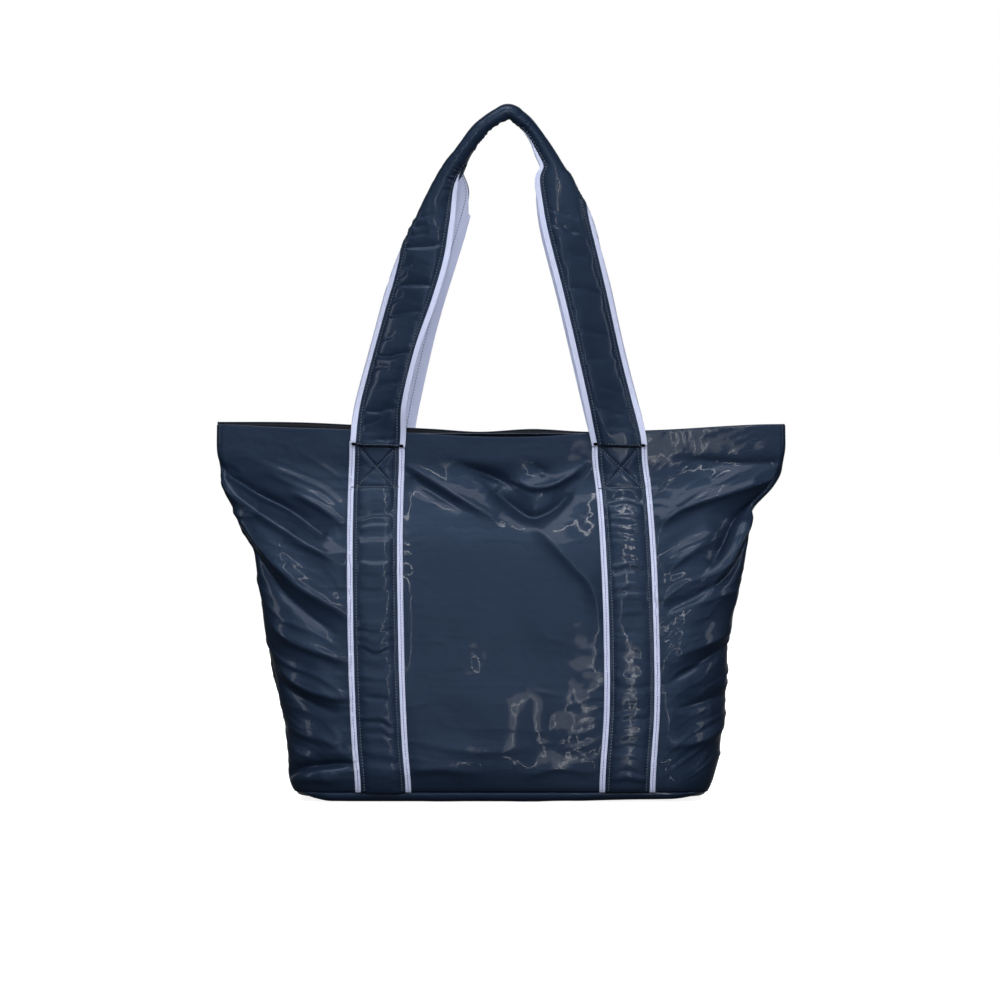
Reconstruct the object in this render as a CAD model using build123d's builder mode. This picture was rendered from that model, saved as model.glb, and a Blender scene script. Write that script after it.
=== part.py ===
"""Foldable zip-top tote bag with two webbing handles and an inner stow pouch.

Frame: origin at the centre of the sole, +Z up, the front of the bag faces -Y, +X to the right.
The bag stands filled, its zip closed and its handles raised. Lengths are in millimetres.
"""

from build123d import *
from math import cos, hypot, pi, radians, sin
import os

# ---------------------------------------------------------------- driving dimensions
# Bag body
bag_height = 340.0
mouth_width = 512.0
mouth_depth = 31.0
mouth_corner = 14.0
band_height = 44.0  # straight band under the mouth, pinched flat by the zip
base_width = 384.0
base_depth = 128.0
base_corner = 34.0
seam_height = 9.0  # the base panel turns up this far, to its seam
sole_margin = 11.0  # from the base seam in to the flat sole
corner_steps = 4  # folds round each corner
fabric = 1.0
clearance = 0.3  # between sewn layers

# Filled sections on the way up from the base seam to the band: how far up, how far the width and
# depth have gone from the base's to the mouth's, all as shares of the way, and the corner radius
belly_sections = [
    (0.18, 0.11, -0.06, 40.0),
    (0.46, 0.31, 0.06, 44.0),
    (0.77, 0.58, 0.47, 36.0),
]

# Hems and seam bindings inside the bag
facing_thickness = 0.8
facing_height = 28.0
facing_drop = 1.0  # below the bag's top edge
binding_thickness = 0.8
binding_width = 9.0

# Straps: lilac webbing with a narrower navy strip on its outer face
strap_width = 50.0
strap_thickness = 1.2
strip_width = 40.0
strip_thickness = 0.8
strip_gap = 0.2
strap_centre = 112.0  # from the bag's middle to the strap's centre line
handle_foot_drop = 18.0  # from the bag's top edge down to the seam where the handle leaves it

# Handle loops: two flat legs that lean in, then a grip rolled round its own edges
leg_rise = 228.0
leg_top_reach = 50.5
leg_top_shift = 1.5
flare_length = 26.0
grip_diameter = 16.0
grip_sides = 8
flat_thickness = 3.4  # of the grip's flat ends
shoulder_rise = 40.0  # the legs' lines run on this far, inside the grip
shoulder_bend = 34.0
apex_rise = 50.0  # from there up to where the grip's two slopes would meet, before the bend
apex_shift = 8.0
apex_bend = 24.0

# Zip chains: two coils on woven tapes, with a channel between them for the slider's post
tape_thickness = 0.6
coil_width = 2.4
coil_height = 2.0
channel = 1.2
stitch_gap = 0.2  # between a tape and its coil

# Zip sliders and pullers
plate_length = 12.0
plate_play = 0.4  # beside the coils
plate_thickness = 1.0
plate_corner = 2.4
flange_width = 1.4
post_length = 3.0
post_width = 0.6
bridge_length = 6.6
bridge_width = 1.4
bridge_bar = 0.8
puller_length = 24.0
puller_width = 7.0
puller_thickness = 1.2
puller_corner = 1.6
window_length = 4.2
window_width = 4.4
stop_length = 2.0

# Mouth zip
zip_drop = 9.0  # below the bag's top edge
zip_end_gap = 20.0  # from the end of the mouth to the end of the zip
zip_end_run = 22.4  # of tape at each end that stays down
slider_park_gap = 13.0  # from the end of the zip to the slider, when the zip is shut

# Stow pouch, sewn under the back facing
pouch_width = 200.0
pouch_height = 170.0
pouch_depth = 4.6
pouch_wall = 0.6
pouch_drop = 12.0  # from the bag's top edge down to the pouch's top
pouch_zip_drop = 30.0  # from the pouch's top down to its zip
pouch_slot_margin = 14.0  # beside the slot for the zip
pouch_slot_height = 13.0
pouch_slider_gap = 16.0  # from the slot's end to the slider, when the zip is shut
pouch_puller_length = 16.0

# ---------------------------------------------------------------- derived places
far = 400.0  # beyond every face of the bag
mouth_half = mouth_depth / 2
facing_face = mouth_half - fabric - clearance - facing_thickness
webbing_outer = clearance + strap_thickness
strip_inner = webbing_outer + strip_gap
strip_outer = strip_inner + strip_thickness
band_foot = bag_height - band_height
handle_foot = bag_height - handle_foot_drop
leg_top = handle_foot + leg_rise
shoulder_height = leg_top + shoulder_rise
apex_height = shoulder_height + apex_rise

os.makedirs("parts", exist_ok=True)


def finish(part, name):
    """Label a finished piece and write its STEP file."""
    part.label = name
    export_step(part, f"parts/{name}.step")
    return part


def mirrored(part, plane):
    """A copy of a finished piece on the other side of a plane."""
    with BuildPart() as other:
        add(part)
        mirror(about=plane, mode=Mode.REPLACE)
    return other.part


def slab(low, high, plane=Plane.XY):
    """A rectangular slab between two corners, given in the plane's own axes."""
    size = [b - a for a, b in zip(low, high)]
    middle = tuple((a + b) / 2 for a, b in zip(low, high))
    with BuildPart(plane) as block:
        with Locations(middle):
            Box(*size)
    return block.part


def combined(first, *others, mode=Mode.ADD):
    """One piece joined with others, cut by them or kept where they meet."""
    with BuildPart() as whole:
        add(first)
        for other in others:
            add(other, mode=mode)
    return whole.part


def cropped(part, low, high):
    """The stretch of a piece that lies between two corners."""
    return combined(part, slab(low, high), mode=Mode.INTERSECT)


# ---------------------------------------------------------------- bag body
def body_outline(width, depth, corner):
    """The corners of a level section through the bag: straight sides, and folds round each corner."""
    points = []
    for turn, side, face in ((0, 1, 1), (90, -1, 1), (180, -1, -1), (270, 1, -1)):
        for step in range(corner_steps + 1):
            angle = radians(turn + 90 * step / corner_steps)
            points.append((
                side * (width / 2 - corner) + corner * cos(angle),
                face * (depth / 2 - corner) + corner * sin(angle),
            ))
    return points


def part_way(start, end, share):
    """The value a share of the way from start to end."""
    return start + (end - start) * share


def body_form(inset):
    """The closed form of the filled bag, with its faces moved in by inset."""
    sole = (inset, base_width - 2 * sole_margin, base_depth - 2 * sole_margin, base_corner - sole_margin)
    base_seam = (seam_height, base_width, base_depth, base_corner)
    belly = [
        (
            part_way(seam_height, band_foot, rise),
            part_way(base_width, mouth_width, width_share),
            part_way(base_depth, mouth_depth, depth_share),
            corner,
        )
        for rise, width_share, depth_share, corner in belly_sections
    ]
    band = (band_foot, mouth_width, mouth_depth, mouth_corner)
    mouth = (bag_height, mouth_width, mouth_depth, mouth_corner)
    with BuildPart() as form:
        for sections in ([sole, base_seam], [base_seam, *belly, band], [band, mouth]):
            for height, width, depth, corner in sections:
                with BuildSketch(Plane.XY.offset(height)):
                    outline = body_outline(width - 2 * inset, depth - 2 * inset, corner - inset)
                    Polygon(*outline, align=None)
            loft()
    return form.part


def body_layer(outer_inset, inner_inset):
    """The skin between two insets of the bag's form."""
    return combined(body_form(outer_inset), body_form(inner_inset), mode=Mode.SUBTRACT)


shell = body_layer(0.0, fabric)
finish(cropped(shell, (-far, -far, -1), (far, far, seam_height)), "base_panel")
front_panel = cropped(shell, (-far, -far, seam_height), (far, 0, far))
finish(front_panel, "front_panel")
finish(mirrored(front_panel, Plane.XZ), "back_panel")

# Facings: the mouth's folded hems, one round each half of the mouth
lining_inset = fabric + clearance
facing_skin = body_layer(lining_inset, lining_inset + facing_thickness)
facing_top = bag_height - facing_drop
facing_foot = facing_top - facing_height
front_facing = cropped(facing_skin, (-far, -far, facing_foot), (far, 0, facing_top))
finish(front_facing, "front_top_facing")
finish(mirrored(front_facing, Plane.XZ), "back_top_facing")

# Bindings over the raw edges of the side seams and the base seam
binding_skin = body_layer(lining_inset, lining_inset + binding_thickness)
base_binding_top = seam_height + binding_width / 2
side_binding = cropped(
    binding_skin,
    (0, -binding_width / 2, base_binding_top + clearance),
    (far, binding_width / 2, facing_foot - clearance),
)
finish(side_binding, "right_seam_binding")
finish(mirrored(side_binding, Plane.YZ), "left_seam_binding")
base_binding = cropped(
    binding_skin,
    (-far, -far, seam_height - binding_width / 2),
    (far, far, base_binding_top),
)
finish(base_binding, "base_seam_binding")

# ---------------------------------------------------------------- straps sewn down the bag
run_foot = seam_height + clearance
run_top = handle_foot - clearance
for layer_name, near, outer, width in (
    ("webbing", clearance, webbing_outer, strap_width),
    ("strip", strip_inner, strip_outer, strip_width),
):
    run = cropped(
        body_layer(-outer, -near),
        (strap_centre - width / 2, -far, run_foot),
        (strap_centre + width / 2, 0, run_top),
    )
    finish(run, f"front_right_{layer_name}")
    finish(mirrored(run, Plane.YZ), f"front_left_{layer_name}")
    back_run = mirrored(run, Plane.XZ)
    finish(back_run, f"back_right_{layer_name}")
    finish(mirrored(back_run, Plane.YZ), f"back_left_{layer_name}")

# ---------------------------------------------------------------- handle loops
strap_middle = mouth_half + (clearance + strip_outer) / 2  # out from the bag's middle plane
leg_foot = handle_foot + clearance


def leg_x(side, height):
    """Where a leg's centre line passes a height. side is -1 for the left leg."""
    foot_x = side * strap_centre
    top_x = leg_top_shift + side * leg_top_reach
    return foot_x + (top_x - foot_x) * (height - leg_foot) / (leg_top - leg_foot)


def leg(side, width, near, thickness):
    """A flat strap that leans in from the bag to the grip."""
    foot_x = leg_x(side, leg_foot)
    top_x = leg_x(side, leg_top)
    slope = hypot(top_x - foot_x, leg_top - leg_foot)
    level = width / 2 * slope / (leg_top - leg_foot)  # half the strap's width, measured level
    across_x = width / 2 * (leg_top - leg_foot) / slope
    across_z = width / 2 * (foot_x - top_x) / slope
    with BuildPart() as strap:
        with BuildSketch(Plane.XZ.offset(mouth_half + near)):
            Polygon(
                (foot_x - level, leg_foot),
                (foot_x + level, leg_foot),
                (top_x + across_x, leg_top + across_z),
                (top_x - across_x, leg_top - across_z),
                align=None,
            )
        extrude(amount=thickness)
    return strap.part


def rolled_outline(half_width, half_thickness):
    """The corners of a section through the grip."""
    spread = 1 / cos(pi / grip_sides)
    turns = [2 * pi * (step + 0.5) / grip_sides for step in range(grip_sides)]
    return [(half_width * cos(turn) * spread, half_thickness * sin(turn) * spread) for turn in turns]


def grip_plane(path, place, direction=1):
    """The plane across the grip at a place on its path, x in the plane of the loop."""
    along = path.tangent_at(place) * direction
    return Plane(path.position_at(place), along.cross(Vector(0, 1, 0)), along)


with BuildLine() as grip_line:
    FilletPolyline(
        (leg_x(-1, leg_top + clearance), -strap_middle, leg_top + clearance),
        (leg_x(-1, shoulder_height), -strap_middle, shoulder_height),
        (apex_shift, -strap_middle, apex_height),
        (leg_x(1, shoulder_height), -strap_middle, shoulder_height),
        (leg_x(1, leg_top + clearance), -strap_middle, leg_top + clearance),
        radius=[shoulder_bend, apex_bend, shoulder_bend],
    )
grip_path = grip_line.wires()[0]
flare = flare_length / grip_path.length
rolled_stretch = grip_path.trim(flare, 1 - flare)
round_half = grip_diameter / 2
with BuildPart() as grip:
    for end, place, direction in ((0, flare, 1), (1, 1 - flare, -1)):
        with BuildSketch(grip_plane(grip_path, end, direction)):
            Polygon(*rolled_outline(strap_width / 2, flat_thickness / 2), align=None)
        with BuildSketch(grip_plane(grip_path, place, direction)):
            Polygon(*rolled_outline(round_half, round_half), align=None)
        loft()
    with BuildSketch(grip_plane(rolled_stretch, 0)):
        Polygon(*rolled_outline(round_half, round_half), align=None)
    sweep(path=rolled_stretch)

front_handle = {
    "grip": grip.part,
    "left_webbing": leg(-1, strap_width, clearance, strap_thickness),
    "right_webbing": leg(1, strap_width, clearance, strap_thickness),
    "left_strip": leg(-1, strip_width, strip_inner, strip_thickness),
    "right_strip": leg(1, strip_width, strip_inner, strip_thickness),
}
for name, piece in front_handle.items():
    finish(piece, f"front_handle_{name}")
    finish(mirrored(piece, Plane.XZ), f"back_handle_{name}")

# ---------------------------------------------------------------- zip hardware
# Drawn on the chain's plane: x along the chain, y across it, z outward
coil_inner = channel / 2
coil_outer = coil_inner + coil_width
tape_inner = coil_outer + stitch_gap
plate_width = 2 * (coil_outer + plate_play + flange_width)
plate_inner = coil_height / 2 + clearance
plate_outer = plate_inner + plate_thickness
flange_edge = tape_thickness / 2 + clearance
pin_height = plate_outer + 0.5 + puller_thickness / 2
bridge_inner = pin_height + 0.5 + puller_thickness / 2


def zip_slider(plane):
    """Two plates round the chain, with flanges, the post between the coils and the puller's bridge."""
    with BuildPart(plane) as slider:
        for face in (-1, 1):
            with BuildSketch(plane.offset(face * plate_inner)):
                RectangleRounded(plate_length, plate_width, plate_corner)
            extrude(amount=face * plate_thickness)
            for edge in (-1, 1):
                flange_y = edge * (plate_width - flange_width) / 2
                with Locations((0, flange_y, face * (flange_edge + plate_inner) / 2)):
                    Box(plate_length - 2 * plate_corner, flange_width, plate_inner - flange_edge)
        with Locations((plate_length / 2 - post_length, 0, 0)):
            Box(post_length, post_width, 2 * plate_inner)
        bar_height = bridge_inner + bridge_bar / 2
        with Locations((0, 0, bar_height)):
            Box(bridge_length, bridge_width, bridge_bar)
        foot_height = bridge_inner - plate_outer
        for end in (-1, 1):
            with Locations((end * (bridge_length - bridge_bar) / 2, 0, plate_outer + foot_height / 2)):
                Box(bridge_bar, bridge_width, foot_height)
    return slider.part


def zip_puller(plane, length):
    """A flat tab lying on towards the chain's end; its end bar turns under the slider's bridge."""
    with BuildPart(plane) as puller:
        with BuildSketch(plane.offset(pin_height - puller_thickness / 2)):
            with Locations(((length - puller_thickness) / 2, 0)):
                RectangleRounded(length, puller_width, puller_corner)
            with Locations(((puller_thickness + window_length) / 2, 0)):
                Rectangle(window_length, window_width, mode=Mode.SUBTRACT)
        extrude(amount=puller_thickness)
    return puller.part


def coil(half, plane=Plane.XY):
    """One row of the chain, on the side of the plane's +y."""
    return slab((-half, coil_inner, -coil_height / 2), (half, coil_outer, coil_height / 2), plane)


# ---------------------------------------------------------------- mouth zip
zip_plane = Plane.XY.offset(bag_height - zip_drop)
zip_half = mouth_width / 2 - zip_end_gap
flap_half = zip_half - zip_end_run
flap_root = facing_face - clearance - stitch_gap
tape_half = tape_thickness / 2
back_tape = slab((-flap_half, tape_inner, -tape_half), (flap_half, flap_root, tape_half), zip_plane)
back_coil = coil(flap_half, zip_plane)
finish(back_tape, "back_zip_tape")
finish(mirrored(back_tape, Plane.XZ), "front_zip_tape")
finish(back_coil, "back_zip_coil")
finish(mirrored(back_coil, Plane.XZ), "front_zip_coil")

# The zip's sewn ends: a short run of tape and coil that does not fold back, with its stop
end_start = flap_half + 2 * clearance
stop_start = zip_half - 2 * stop_length - clearance
end_tape_outer = facing_face - clearance
end_tape = combined(
    slab((end_start, -end_tape_outer, -tape_half), (zip_half, end_tape_outer, tape_half), zip_plane),
    slab((0, -tape_inner, -far), (stop_start + stop_length + stitch_gap, tape_inner, far)),
    mode=Mode.SUBTRACT,
)
stop_half = coil_height / 2
end_coils = combined(
    slab((end_start, -coil_outer, -stop_half), (stop_start + stop_length, coil_outer, stop_half), zip_plane),
    slab((0, -coil_inner, -far), (stop_start, coil_inner, far)),
    mode=Mode.SUBTRACT,
)
for name, piece in (("zip_end_tape", end_tape), ("zip_end_coil", end_coils)):
    finish(piece, f"right_{name}")
    finish(mirrored(piece, Plane.YZ), f"left_{name}")

slider_plane = Plane(zip_plane.origin + Vector(zip_half - slider_park_gap, 0, 0))
finish(zip_slider(slider_plane), "zip_slider")
finish(zip_puller(slider_plane, puller_length), "zip_puller")

# ---------------------------------------------------------------- stow pouch
pouch_back = facing_face - clearance
pouch_front = pouch_back - pouch_depth
pouch_top = bag_height - pouch_drop
pouch_foot = pouch_top - pouch_height
pouch_zip_z = pouch_top - pouch_zip_drop
slot_half = pouch_width / 2 - pouch_slot_margin
slot = slab(
    (-slot_half, pouch_front - 1, pouch_zip_z - pouch_slot_height / 2),
    (slot_half, pouch_front + 2 * pouch_wall, pouch_zip_z + pouch_slot_height / 2),
)
pouch = combined(
    slab((-pouch_width / 2, pouch_front, pouch_foot), (pouch_width / 2, pouch_back, pouch_top)),
    slab(
        (-pouch_width / 2 + pouch_wall, pouch_front + pouch_wall, pouch_foot + pouch_wall),
        (pouch_width / 2 - pouch_wall, pouch_back - pouch_wall, pouch_top - pouch_wall),
    ),
    slot,
    mode=Mode.SUBTRACT,
)
finish(pouch, "pouch_body")

pouch_plane = Plane(origin=(0, pouch_front + pouch_wall / 2, pouch_zip_z), x_dir=(1, 0, 0), z_dir=(0, -1, 0))
pouch_tape_x = slot_half - clearance
pouch_tape_y = pouch_slot_height / 2 - clearance
pouch_coil_x = pouch_tape_x - 2 * stop_length
pouch_tape = combined(
    slab((-pouch_tape_x, -pouch_tape_y, -tape_half), (pouch_tape_x, pouch_tape_y, tape_half), pouch_plane),
    slab(
        (-pouch_coil_x - stitch_gap, -tape_inner, -1),
        (pouch_coil_x + stitch_gap, tape_inner, 1),
        pouch_plane,
    ),
    mode=Mode.SUBTRACT,
)
finish(pouch_tape, "pouch_zip_tape")
pouch_coil_length = pouch_coil_x - stop_length
pouch_coils = combined(
    slab((-pouch_coil_x, -coil_outer, -stop_half), (pouch_coil_x, coil_outer, stop_half), pouch_plane),
    slab((-pouch_coil_length, -coil_inner, -2), (pouch_coil_length, coil_inner, 2), pouch_plane),
    mode=Mode.SUBTRACT,
)
finish(pouch_coils, "pouch_zip_coil")
pouch_slider_plane = Plane(
    origin=pouch_plane.origin + Vector(slot_half - pouch_slider_gap, 0, 0), x_dir=(1, 0, 0), z_dir=(0, -1, 0)
)
finish(zip_slider(pouch_slider_plane), "pouch_zip_slider")
finish(zip_puller(pouch_slider_plane, pouch_puller_length), "pouch_zip_puller")
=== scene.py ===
"""Foldable tote bag: the visual model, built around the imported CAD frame.

Shapes are worked out in millimetres in the frame's own axes, and written to Blender in metres.
The front of the bag faces -Y. Every soft surface is a function of a place along the bag's outline
and a height, so that straps, seams and stitches lie on the same folds as the fabric under them.
"""

import math

import bpy
import numpy as np
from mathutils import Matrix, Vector


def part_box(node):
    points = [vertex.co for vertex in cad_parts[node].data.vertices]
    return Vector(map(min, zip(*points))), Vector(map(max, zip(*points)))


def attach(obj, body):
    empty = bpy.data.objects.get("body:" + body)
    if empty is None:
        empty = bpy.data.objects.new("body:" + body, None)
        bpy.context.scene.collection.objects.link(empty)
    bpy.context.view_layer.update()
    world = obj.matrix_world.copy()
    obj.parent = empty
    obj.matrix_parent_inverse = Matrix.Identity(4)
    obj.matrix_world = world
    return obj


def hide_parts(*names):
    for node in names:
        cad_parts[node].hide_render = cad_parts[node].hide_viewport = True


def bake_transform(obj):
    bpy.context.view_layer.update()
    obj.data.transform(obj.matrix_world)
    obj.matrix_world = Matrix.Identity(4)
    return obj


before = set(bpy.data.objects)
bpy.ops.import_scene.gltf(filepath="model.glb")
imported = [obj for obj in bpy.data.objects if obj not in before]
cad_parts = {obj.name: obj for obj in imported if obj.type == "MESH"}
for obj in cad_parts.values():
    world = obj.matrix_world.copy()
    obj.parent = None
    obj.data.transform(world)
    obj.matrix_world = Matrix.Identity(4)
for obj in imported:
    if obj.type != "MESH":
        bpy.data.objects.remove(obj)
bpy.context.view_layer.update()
MM = 0.001


def node_box(node):
    """A CAD node's lowest and highest corners, in millimetres."""
    low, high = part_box(node)
    return np.array(low) / MM, np.array(high) / MM


# ------------------------------------------------------------------ sizes from the frame
PANEL_LOW, PANEL_HIGH = node_box("front_panel")
SEAM_Z = PANEL_LOW[2]
RIM_Z = PANEL_HIGH[2]
FACING_FOOT = node_box("front_top_facing")[0][2]
WEBBING_LOW, WEBBING_HIGH = node_box("front_right_webbing")
HANDLE_FOOT = WEBBING_HIGH[2] + 0.3
STRAP_WIDTH = WEBBING_HIGH[0] - WEBBING_LOW[0]
STRIP_LOW, STRIP_HIGH = node_box("front_right_strip")
STRIP_WIDTH = STRIP_HIGH[0] - STRIP_LOW[0]
ZIP_Z = sum(corner[2] for corner in node_box("front_zip_tape")) / 2
FABRIC = 1.0  # how thick the panels are
FACES = ("front", "back")
BOTH = (-1, 1)  # left and right, or the two edges of a strap


# ------------------------------------------------------------------ small maths
def curve_through(points):
    """A smooth function through (place, value) points, level beyond both ends."""
    xs = np.array([p[0] for p in points], float)
    ys = np.array([p[1] for p in points], float)
    slopes = np.gradient(ys, xs)
    slopes[0] = slopes[-1] = 0.0

    def value(x):
        x = np.clip(np.asarray(x, float), xs[0], xs[-1])
        k = np.clip(np.searchsorted(xs, x) - 1, 0, len(xs) - 2)
        h = xs[k + 1] - xs[k]
        t = (x - xs[k]) / h
        return (
            ys[k] * (2 * t**3 - 3 * t**2 + 1)
            + h * slopes[k] * (t**3 - 2 * t**2 + t)
            + ys[k + 1] * (3 * t**2 - 2 * t**3)
            + h * slopes[k + 1] * (t**3 - t**2)
        )

    return value


def smoothstep(low, high, x):
    """0 below low, 1 above high and a soft step between; turned round where low is the larger."""
    t = np.clip((np.asarray(x, float) - low) / (high - low), 0.0, 1.0)
    return t * t * (3 - 2 * t)


TILTED = np.array([0.3, 0.2, 1.0])  # a direction that no seam or coil runs along


def unit(v):
    return v / np.maximum(np.linalg.norm(v, axis=-1, keepdims=True), 1e-9)


def value_noise(x, y, seed):
    """Smooth repeatable noise from -1 to 1, one cell per unit."""
    x, y = np.broadcast_arrays(np.asarray(x, float), np.asarray(y, float))
    ix, iy = np.floor(x), np.floor(y)
    fx, fy = x - ix, y - iy
    fx, fy = (f**3 * (f * (f * 6 - 15) + 10) for f in (fx, fy))

    def corner(cx, cy):
        h = np.sin(cx * 127.1 + cy * 311.7 + seed * 74.7) * 43758.5453
        return 2 * (h - np.floor(h)) - 1

    low = corner(ix, iy) * (1 - fx) + corner(ix + 1, iy) * fx
    high = corner(ix, iy + 1) * (1 - fx) + corner(ix + 1, iy + 1) * fx
    return low * (1 - fy) + high * fy


def run_length(line):
    """How far along a line of points each of them lies."""
    return np.concatenate([[0], np.cumsum(np.linalg.norm(np.diff(line, axis=0), axis=1))])


def bump_of(distance, width, power=2):
    """1 at distance 0, falling away to both sides over width."""
    return np.exp(-((distance / width) ** power))


def dense_path(points, step):
    """Points every step along a smooth path through the given ones."""
    p = np.array(points, float)
    p = np.vstack([2 * p[0] - p[1], p, 2 * p[-1] - p[-2]])
    out = []
    for k in range(1, len(p) - 2):
        t = np.linspace(0, 1, 40, endpoint=False)[:, None]
        a, b, c, d = p[k - 1], p[k], p[k + 1], p[k + 2]
        out.append(0.5 * (2 * b + (c - a) * t + (2 * a - 5 * b + 4 * c - d) * t**2
                          + (3 * b - a - 3 * c + d) * t**3))
    out = np.vstack(out + [p[-2][None]])
    along = run_length(out)
    places = np.linspace(0, along[-1], max(2, int(round(along[-1] / step)) + 1))
    return np.stack([np.interp(places, along, out[:, k]) for k in range(out.shape[1])], axis=1)


# ------------------------------------------------------------------ meshes
def mesh_object(name, points, faces):
    """A smooth-shaded object from points in millimetres."""
    mesh = bpy.data.meshes.new(name)
    mesh.from_pydata((np.asarray(points) * MM).tolist(), [], faces)
    mesh.update()
    mesh.polygons.foreach_set("use_smooth", [True] * len(mesh.polygons))
    piece = bpy.data.objects.new(name, mesh)
    bpy.context.scene.collection.objects.link(piece)
    return piece


def grid_faces(rows, cols, wrap=False, start=0, flip=False):
    """Quads over a grid of points numbered from start; wrap joins each row's last point to its first."""
    faces = []
    last = cols if wrap else cols - 1
    for r in range(rows - 1):
        for c in range(last):
            a = start + r * cols + c
            b = start + r * cols + (c + 1) % cols
            quad = (a, b, b + cols, a + cols)
            faces.append(quad[::-1] if flip else quad)
    return faces


def shell_object(name, outer, inner, flip=False):
    """A thin closed sheet between two grids of points; its inner faces take material slot 1."""
    rows, cols = outer.shape[:2]
    count = rows * cols
    faces = grid_faces(rows, cols, flip=flip)
    faces += grid_faces(rows, cols, start=count, flip=not flip)
    inner_count = len(faces) // 2
    loop = [r * cols for r in range(rows)]
    loop += [(rows - 1) * cols + c for c in range(1, cols)]
    loop += [r * cols + cols - 1 for r in range(rows - 2, -1, -1)]
    loop += list(range(cols - 2, 0, -1))
    for a, b in zip(loop, loop[1:] + loop[:1]):
        quad = (a, b, b + count, a + count)
        faces.append(quad[::-1] if flip else quad)
    points = np.concatenate([outer.reshape(-1, 3), inner.reshape(-1, 3)])
    piece = mesh_object(name, points, faces)
    slots = np.zeros(len(faces), dtype=np.int32)
    slots[inner_count:2 * inner_count] = 1
    piece.data.polygons.foreach_set("material_index", slots)
    return piece


def tube_faces(rings, sides):
    """The faces of a thin closed tube over rings of points."""
    faces = grid_faces(rings, sides, wrap=True, flip=True)
    faces.append(tuple(range(sides)))
    faces.append(tuple((rings - 1) * sides + j for j in range(sides))[::-1])
    return faces


def joined(name, pieces):
    """One object from many arrays of (points, faces)."""
    points, faces, start = [], [], 0
    for p, f in pieces:
        points.append(p)
        faces += [tuple(i + start for i in face) for face in f]
        start += len(p)
    return mesh_object(name, np.concatenate(points), faces)


# ------------------------------------------------------------------ materials
def socket(node, name, value):
    """Set the value of one of a node's inputs."""
    node.inputs[name].default_value = value


def math_node(tree, operation, a, b):
    """A maths node on numbers or on other nodes' outputs."""
    node = tree.nodes.new("ShaderNodeMath")
    node.operation = operation
    for k, source in enumerate((a, b)):
        if isinstance(source, (int, float)):
            node.inputs[k].default_value = source
        else:
            tree.links.new(source, node.inputs[k])
    return node.outputs[0]


class Material:
    """A node material with short ways to add what fabrics need."""

    def __init__(self, name, color, roughness, **shader):
        self.data = bpy.data.materials.new(name)
        self.data.use_nodes = True
        self.tree = self.data.node_tree
        self.nodes, self.links = self.tree.nodes, self.tree.links
        self.bsdf = self.nodes["Principled BSDF"]
        socket(self.bsdf, "Base Color", (*color, 1))
        socket(self.bsdf, "Roughness", roughness)
        for key, value in shader.items():
            socket(self.bsdf, key.replace("_", " "), value)
        self.coords = self.add("ShaderNodeTexCoord").outputs["Object"]
        self.height = None

    def add(self, kind, **settings):
        node = self.nodes.new(kind)
        for key, value in settings.items():
            setattr(node, key, value)
        return node

    def scaled(self, scale):
        """Object coordinates, in metres, times scale."""
        mapping = self.add("ShaderNodeMapping")
        socket(mapping, "Scale", scale)
        self.links.new(self.coords, mapping.inputs["Vector"])
        return mapping.outputs["Vector"]

    def noise(self, scale, detail=3.0, distortion=0.0):
        node = self.add("ShaderNodeTexNoise")
        socket(node, "Scale", 1.0)
        socket(node, "Detail", detail)
        socket(node, "Distortion", distortion)
        self.links.new(self.scaled(scale), node.inputs["Vector"])
        return node.outputs["Fac"]

    def wave(self, scale, direction="X"):
        node = self.add("ShaderNodeTexWave", wave_type="BANDS", bands_direction=direction)
        socket(node, "Scale", 1.0)
        self.links.new(self.scaled(scale), node.inputs["Vector"])
        return node.outputs["Fac"]

    def math(self, operation, a, b):
        return math_node(self.tree, operation, a, b)

    def ramp(self, source, stops):
        node = self.add("ShaderNodeValToRGB")
        elements = node.color_ramp.elements
        while len(elements) < len(stops):
            elements.new(0.5)
        for element, (place, color) in zip(elements, stops):
            element.position = place
            element.color = (*color, 1)
        self.links.new(source, node.inputs["Fac"])
        return node.outputs["Color"]

    def color(self, source):
        self.links.new(source, self.bsdf.inputs["Base Color"])

    def roughness(self, source, low, high):
        node = self.add("ShaderNodeMapRange")
        socket(node, "To Min", low)
        socket(node, "To Max", high)
        self.links.new(source, node.inputs["Value"])
        self.links.new(node.outputs["Result"], self.bsdf.inputs["Roughness"])

    def raised(self, source, distance, strength):
        """A bump node, distance in metres."""
        node = self.add("ShaderNodeBump")
        socket(node, "Strength", strength)
        socket(node, "Distance", distance)
        self.links.new(source, node.inputs["Height"])
        return node

    def coat_bump(self, source, distance, strength):
        node = self.raised(source, distance, strength)
        self.links.new(node.outputs["Normal"], self.bsdf.inputs["Coat Normal"])

    def bump(self, source, distance, strength):
        """Relief on top of what earlier calls made."""
        node = self.raised(source, distance, strength)
        if self.height:
            self.links.new(self.height, node.inputs["Normal"])
        self.height = node.outputs["Normal"]
        self.links.new(self.height, self.bsdf.inputs["Normal"])


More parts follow.
